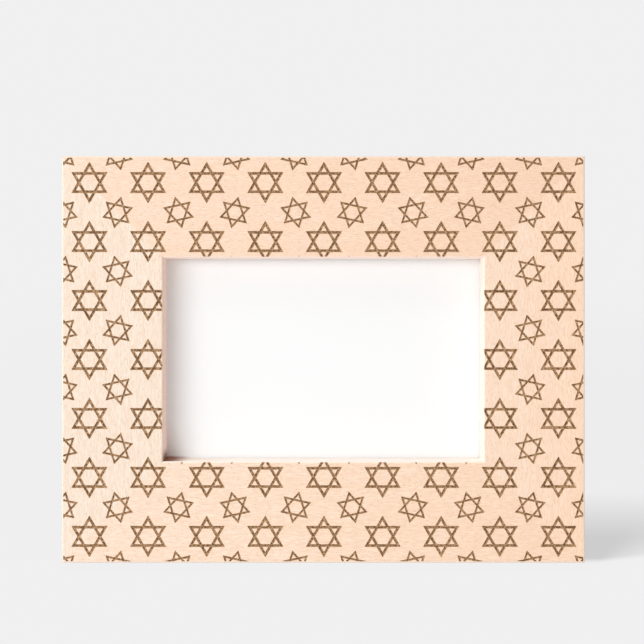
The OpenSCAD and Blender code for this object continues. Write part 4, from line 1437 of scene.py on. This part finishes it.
def pale_floor(size, stage):
    """A pale matt floor that shows its shadow near the frame, and fades into the backdrop further out.
    Under the leaning face, and in line with it on the right, it stays nearly as pale as in the open: the
    shadow starts behind a line that runs back at a slant beside the frame."""
    material, add = new_material("pale floor")
    place = add("TexCoord").outputs["Object"]
    far = add("VectorMath", [place], operation="LENGTH")
    fade = add("MapRange", [far, stage.shadow_near, stage.shadow_far, 0, 1], **EASED)
    axes = add("SeparateXYZ", [place])
    slant_x = size.width / 2 + stage.slant_start
    beside = add("Math", [axes.outputs["X"], slant_x], operation="SUBTRACT")
    beside = add("Math", [beside, 0.0], operation="MAXIMUM")
    slant = add("Math", [beside, stage.slant], operation="MULTIPLY")
    depth = add("Math", [axes.outputs["Y"], slant], operation="SUBTRACT")
    start = CAD_BOX[0].y + stage.shadow_start
    patch = [depth, start, start + stage.shadow_rise, stage.front_patch, 0]
    fade = add("Math", [fade, add("MapRange", patch, **EASED)], operation="MAXIMUM")
    seen = seen_share(add)
    tone = add("MapRange", [seen, 0, 1, stage.floor_bounce, stage.floor_shade])
    glow = add("Math", [seen, stage.floor_glow], operation="MULTIPLY")
    glowing = add("Emission", {"Color": (1, 1, 1, 1), "Strength": glow})
    near = add("AddShader", [add("BsdfDiffuse", {"Color": tone}), glowing])
    shown = add("Emission", {"Color": rgba(stage.backdrop), "Strength": 1.0})
    share = add("Math", [seen, fade], operation="MULTIPLY")
    add("OutputMaterial", {"Surface": add("MixShader", [share, near, shown])})
    return material


def floor_plane(size, stage):
    """The floor, a square just below the frame's feet."""
    half = stage.floor_size / 2
    mesh = bpy.data.meshes.new("floor")
    corners = [(x * half, y * half, -FLOOR_GAP) for x, y in ((-1, -1), (1, -1), (1, 1), (-1, 1))]
    mesh.from_pydata(corners, [], [(0, 1, 2, 3)])
    mesh.materials.append(pale_floor(size, stage))
    return bpy.data.objects.new("floor", mesh)


class PICTURE_FRAME_OT_stage(bpy.types.Operator):
    """Set up the camera, the pale floor and the soft light"""

    bl_idname = "picture_frame.stage"
    bl_label = "Studio stage"

    def execute(self, context):
        size, _, _, stage = settings()
        scene = context.scene
        scene.view_settings.view_transform = "Standard"
        scene.camera = squared_camera(size, stage)
        scene.collection.objects.link(scene.camera)

        # A wide soft light from the left and one from the upper left light the frame, and a third one,
        # which only the floor receives, gives the floor its soft shadow
        place = (stage.key_azimuth, stage.key_elevation, stage.key_distance)
        key = soft_lamp("key light", place, (stage.key_width, stage.key_height), stage.key_power)
        place = (stage.top_azimuth, stage.top_elevation, stage.top_distance)
        top = soft_lamp("top light", place, (stage.top_width, stage.top_height), stage.top_power)
        place = (stage.floor_azimuth, stage.floor_elevation, stage.floor_distance)
        extent = (stage.floor_light_width, stage.floor_light_height)
        own = soft_lamp("floor light", place, extent, stage.floor_power)
        for lamp in (key, top, own):
            scene.collection.objects.link(lamp)
        scene.world = studio_world(stage)
        floor = floor_plane(size, stage)
        scene.collection.objects.link(floor)
        for lamp, state in ((key, "EXCLUDE"), (top, "EXCLUDE"), (own, "INCLUDE")):
            lit = bpy.data.collections.new(f"{lamp.name} and floor")
            lit.objects.link(floor)
            lit.collection_objects[0].light_linking.link_state = state
            lamp.light_linking.receiver_collection = lit
        # The key light reaches below the floor's level, and the floor doesn't hold it back
        key.light_linking.blocker_collection = key.light_linking.receiver_collection
        return {"FINISHED"}


class PICTURE_FRAME_PT_sidebar(bpy.types.Panel):
    """Lists the steps that build the frame"""

    bl_label = "Etched picture frame"
    bl_space_type = "VIEW_3D"
    bl_region_type = "UI"
    bl_category = "Picture frame"

    def draw(self, context):
        for step in STEPS:
            self.layout.operator(step.bl_idname)


STEPS = (
    PICTURE_FRAME_OT_stage,
    PICTURE_FRAME_OT_rails,
    PICTURE_FRAME_OT_sheets,
    PICTURE_FRAME_OT_velour,
    PICTURE_FRAME_OT_hinge,
    PICTURE_FRAME_OT_buttons,
    PICTURE_FRAME_OT_hangers,
)
GROUPS = {
    "picture_frame": FrameSizes,
    "frame_hardware": HardwareSizes,
    "burnt_stars": StarSizes,
    "frame_finishes": Finishes,
    "studio_stage": StageSettings,
}


def register():
    for made in (*GROUPS.values(), *STEPS, PICTURE_FRAME_PT_sidebar):
        bpy.utils.register_class(made)
    for name, group in GROUPS.items():
        setattr(bpy.types.Scene, name, PointerProperty(type=group))


def unregister():
    for name in GROUPS:
        delattr(bpy.types.Scene, name)
    for made in (PICTURE_FRAME_PT_sidebar, *reversed(STEPS), *reversed(GROUPS.values())):
        bpy.utils.unregister_class(made)


def main():
    register()
    for step in STEPS:
        group, name = step.bl_idname.split(".")
        getattr(getattr(bpy.ops, group), name)()


if __name__ == "__main__":
    main()
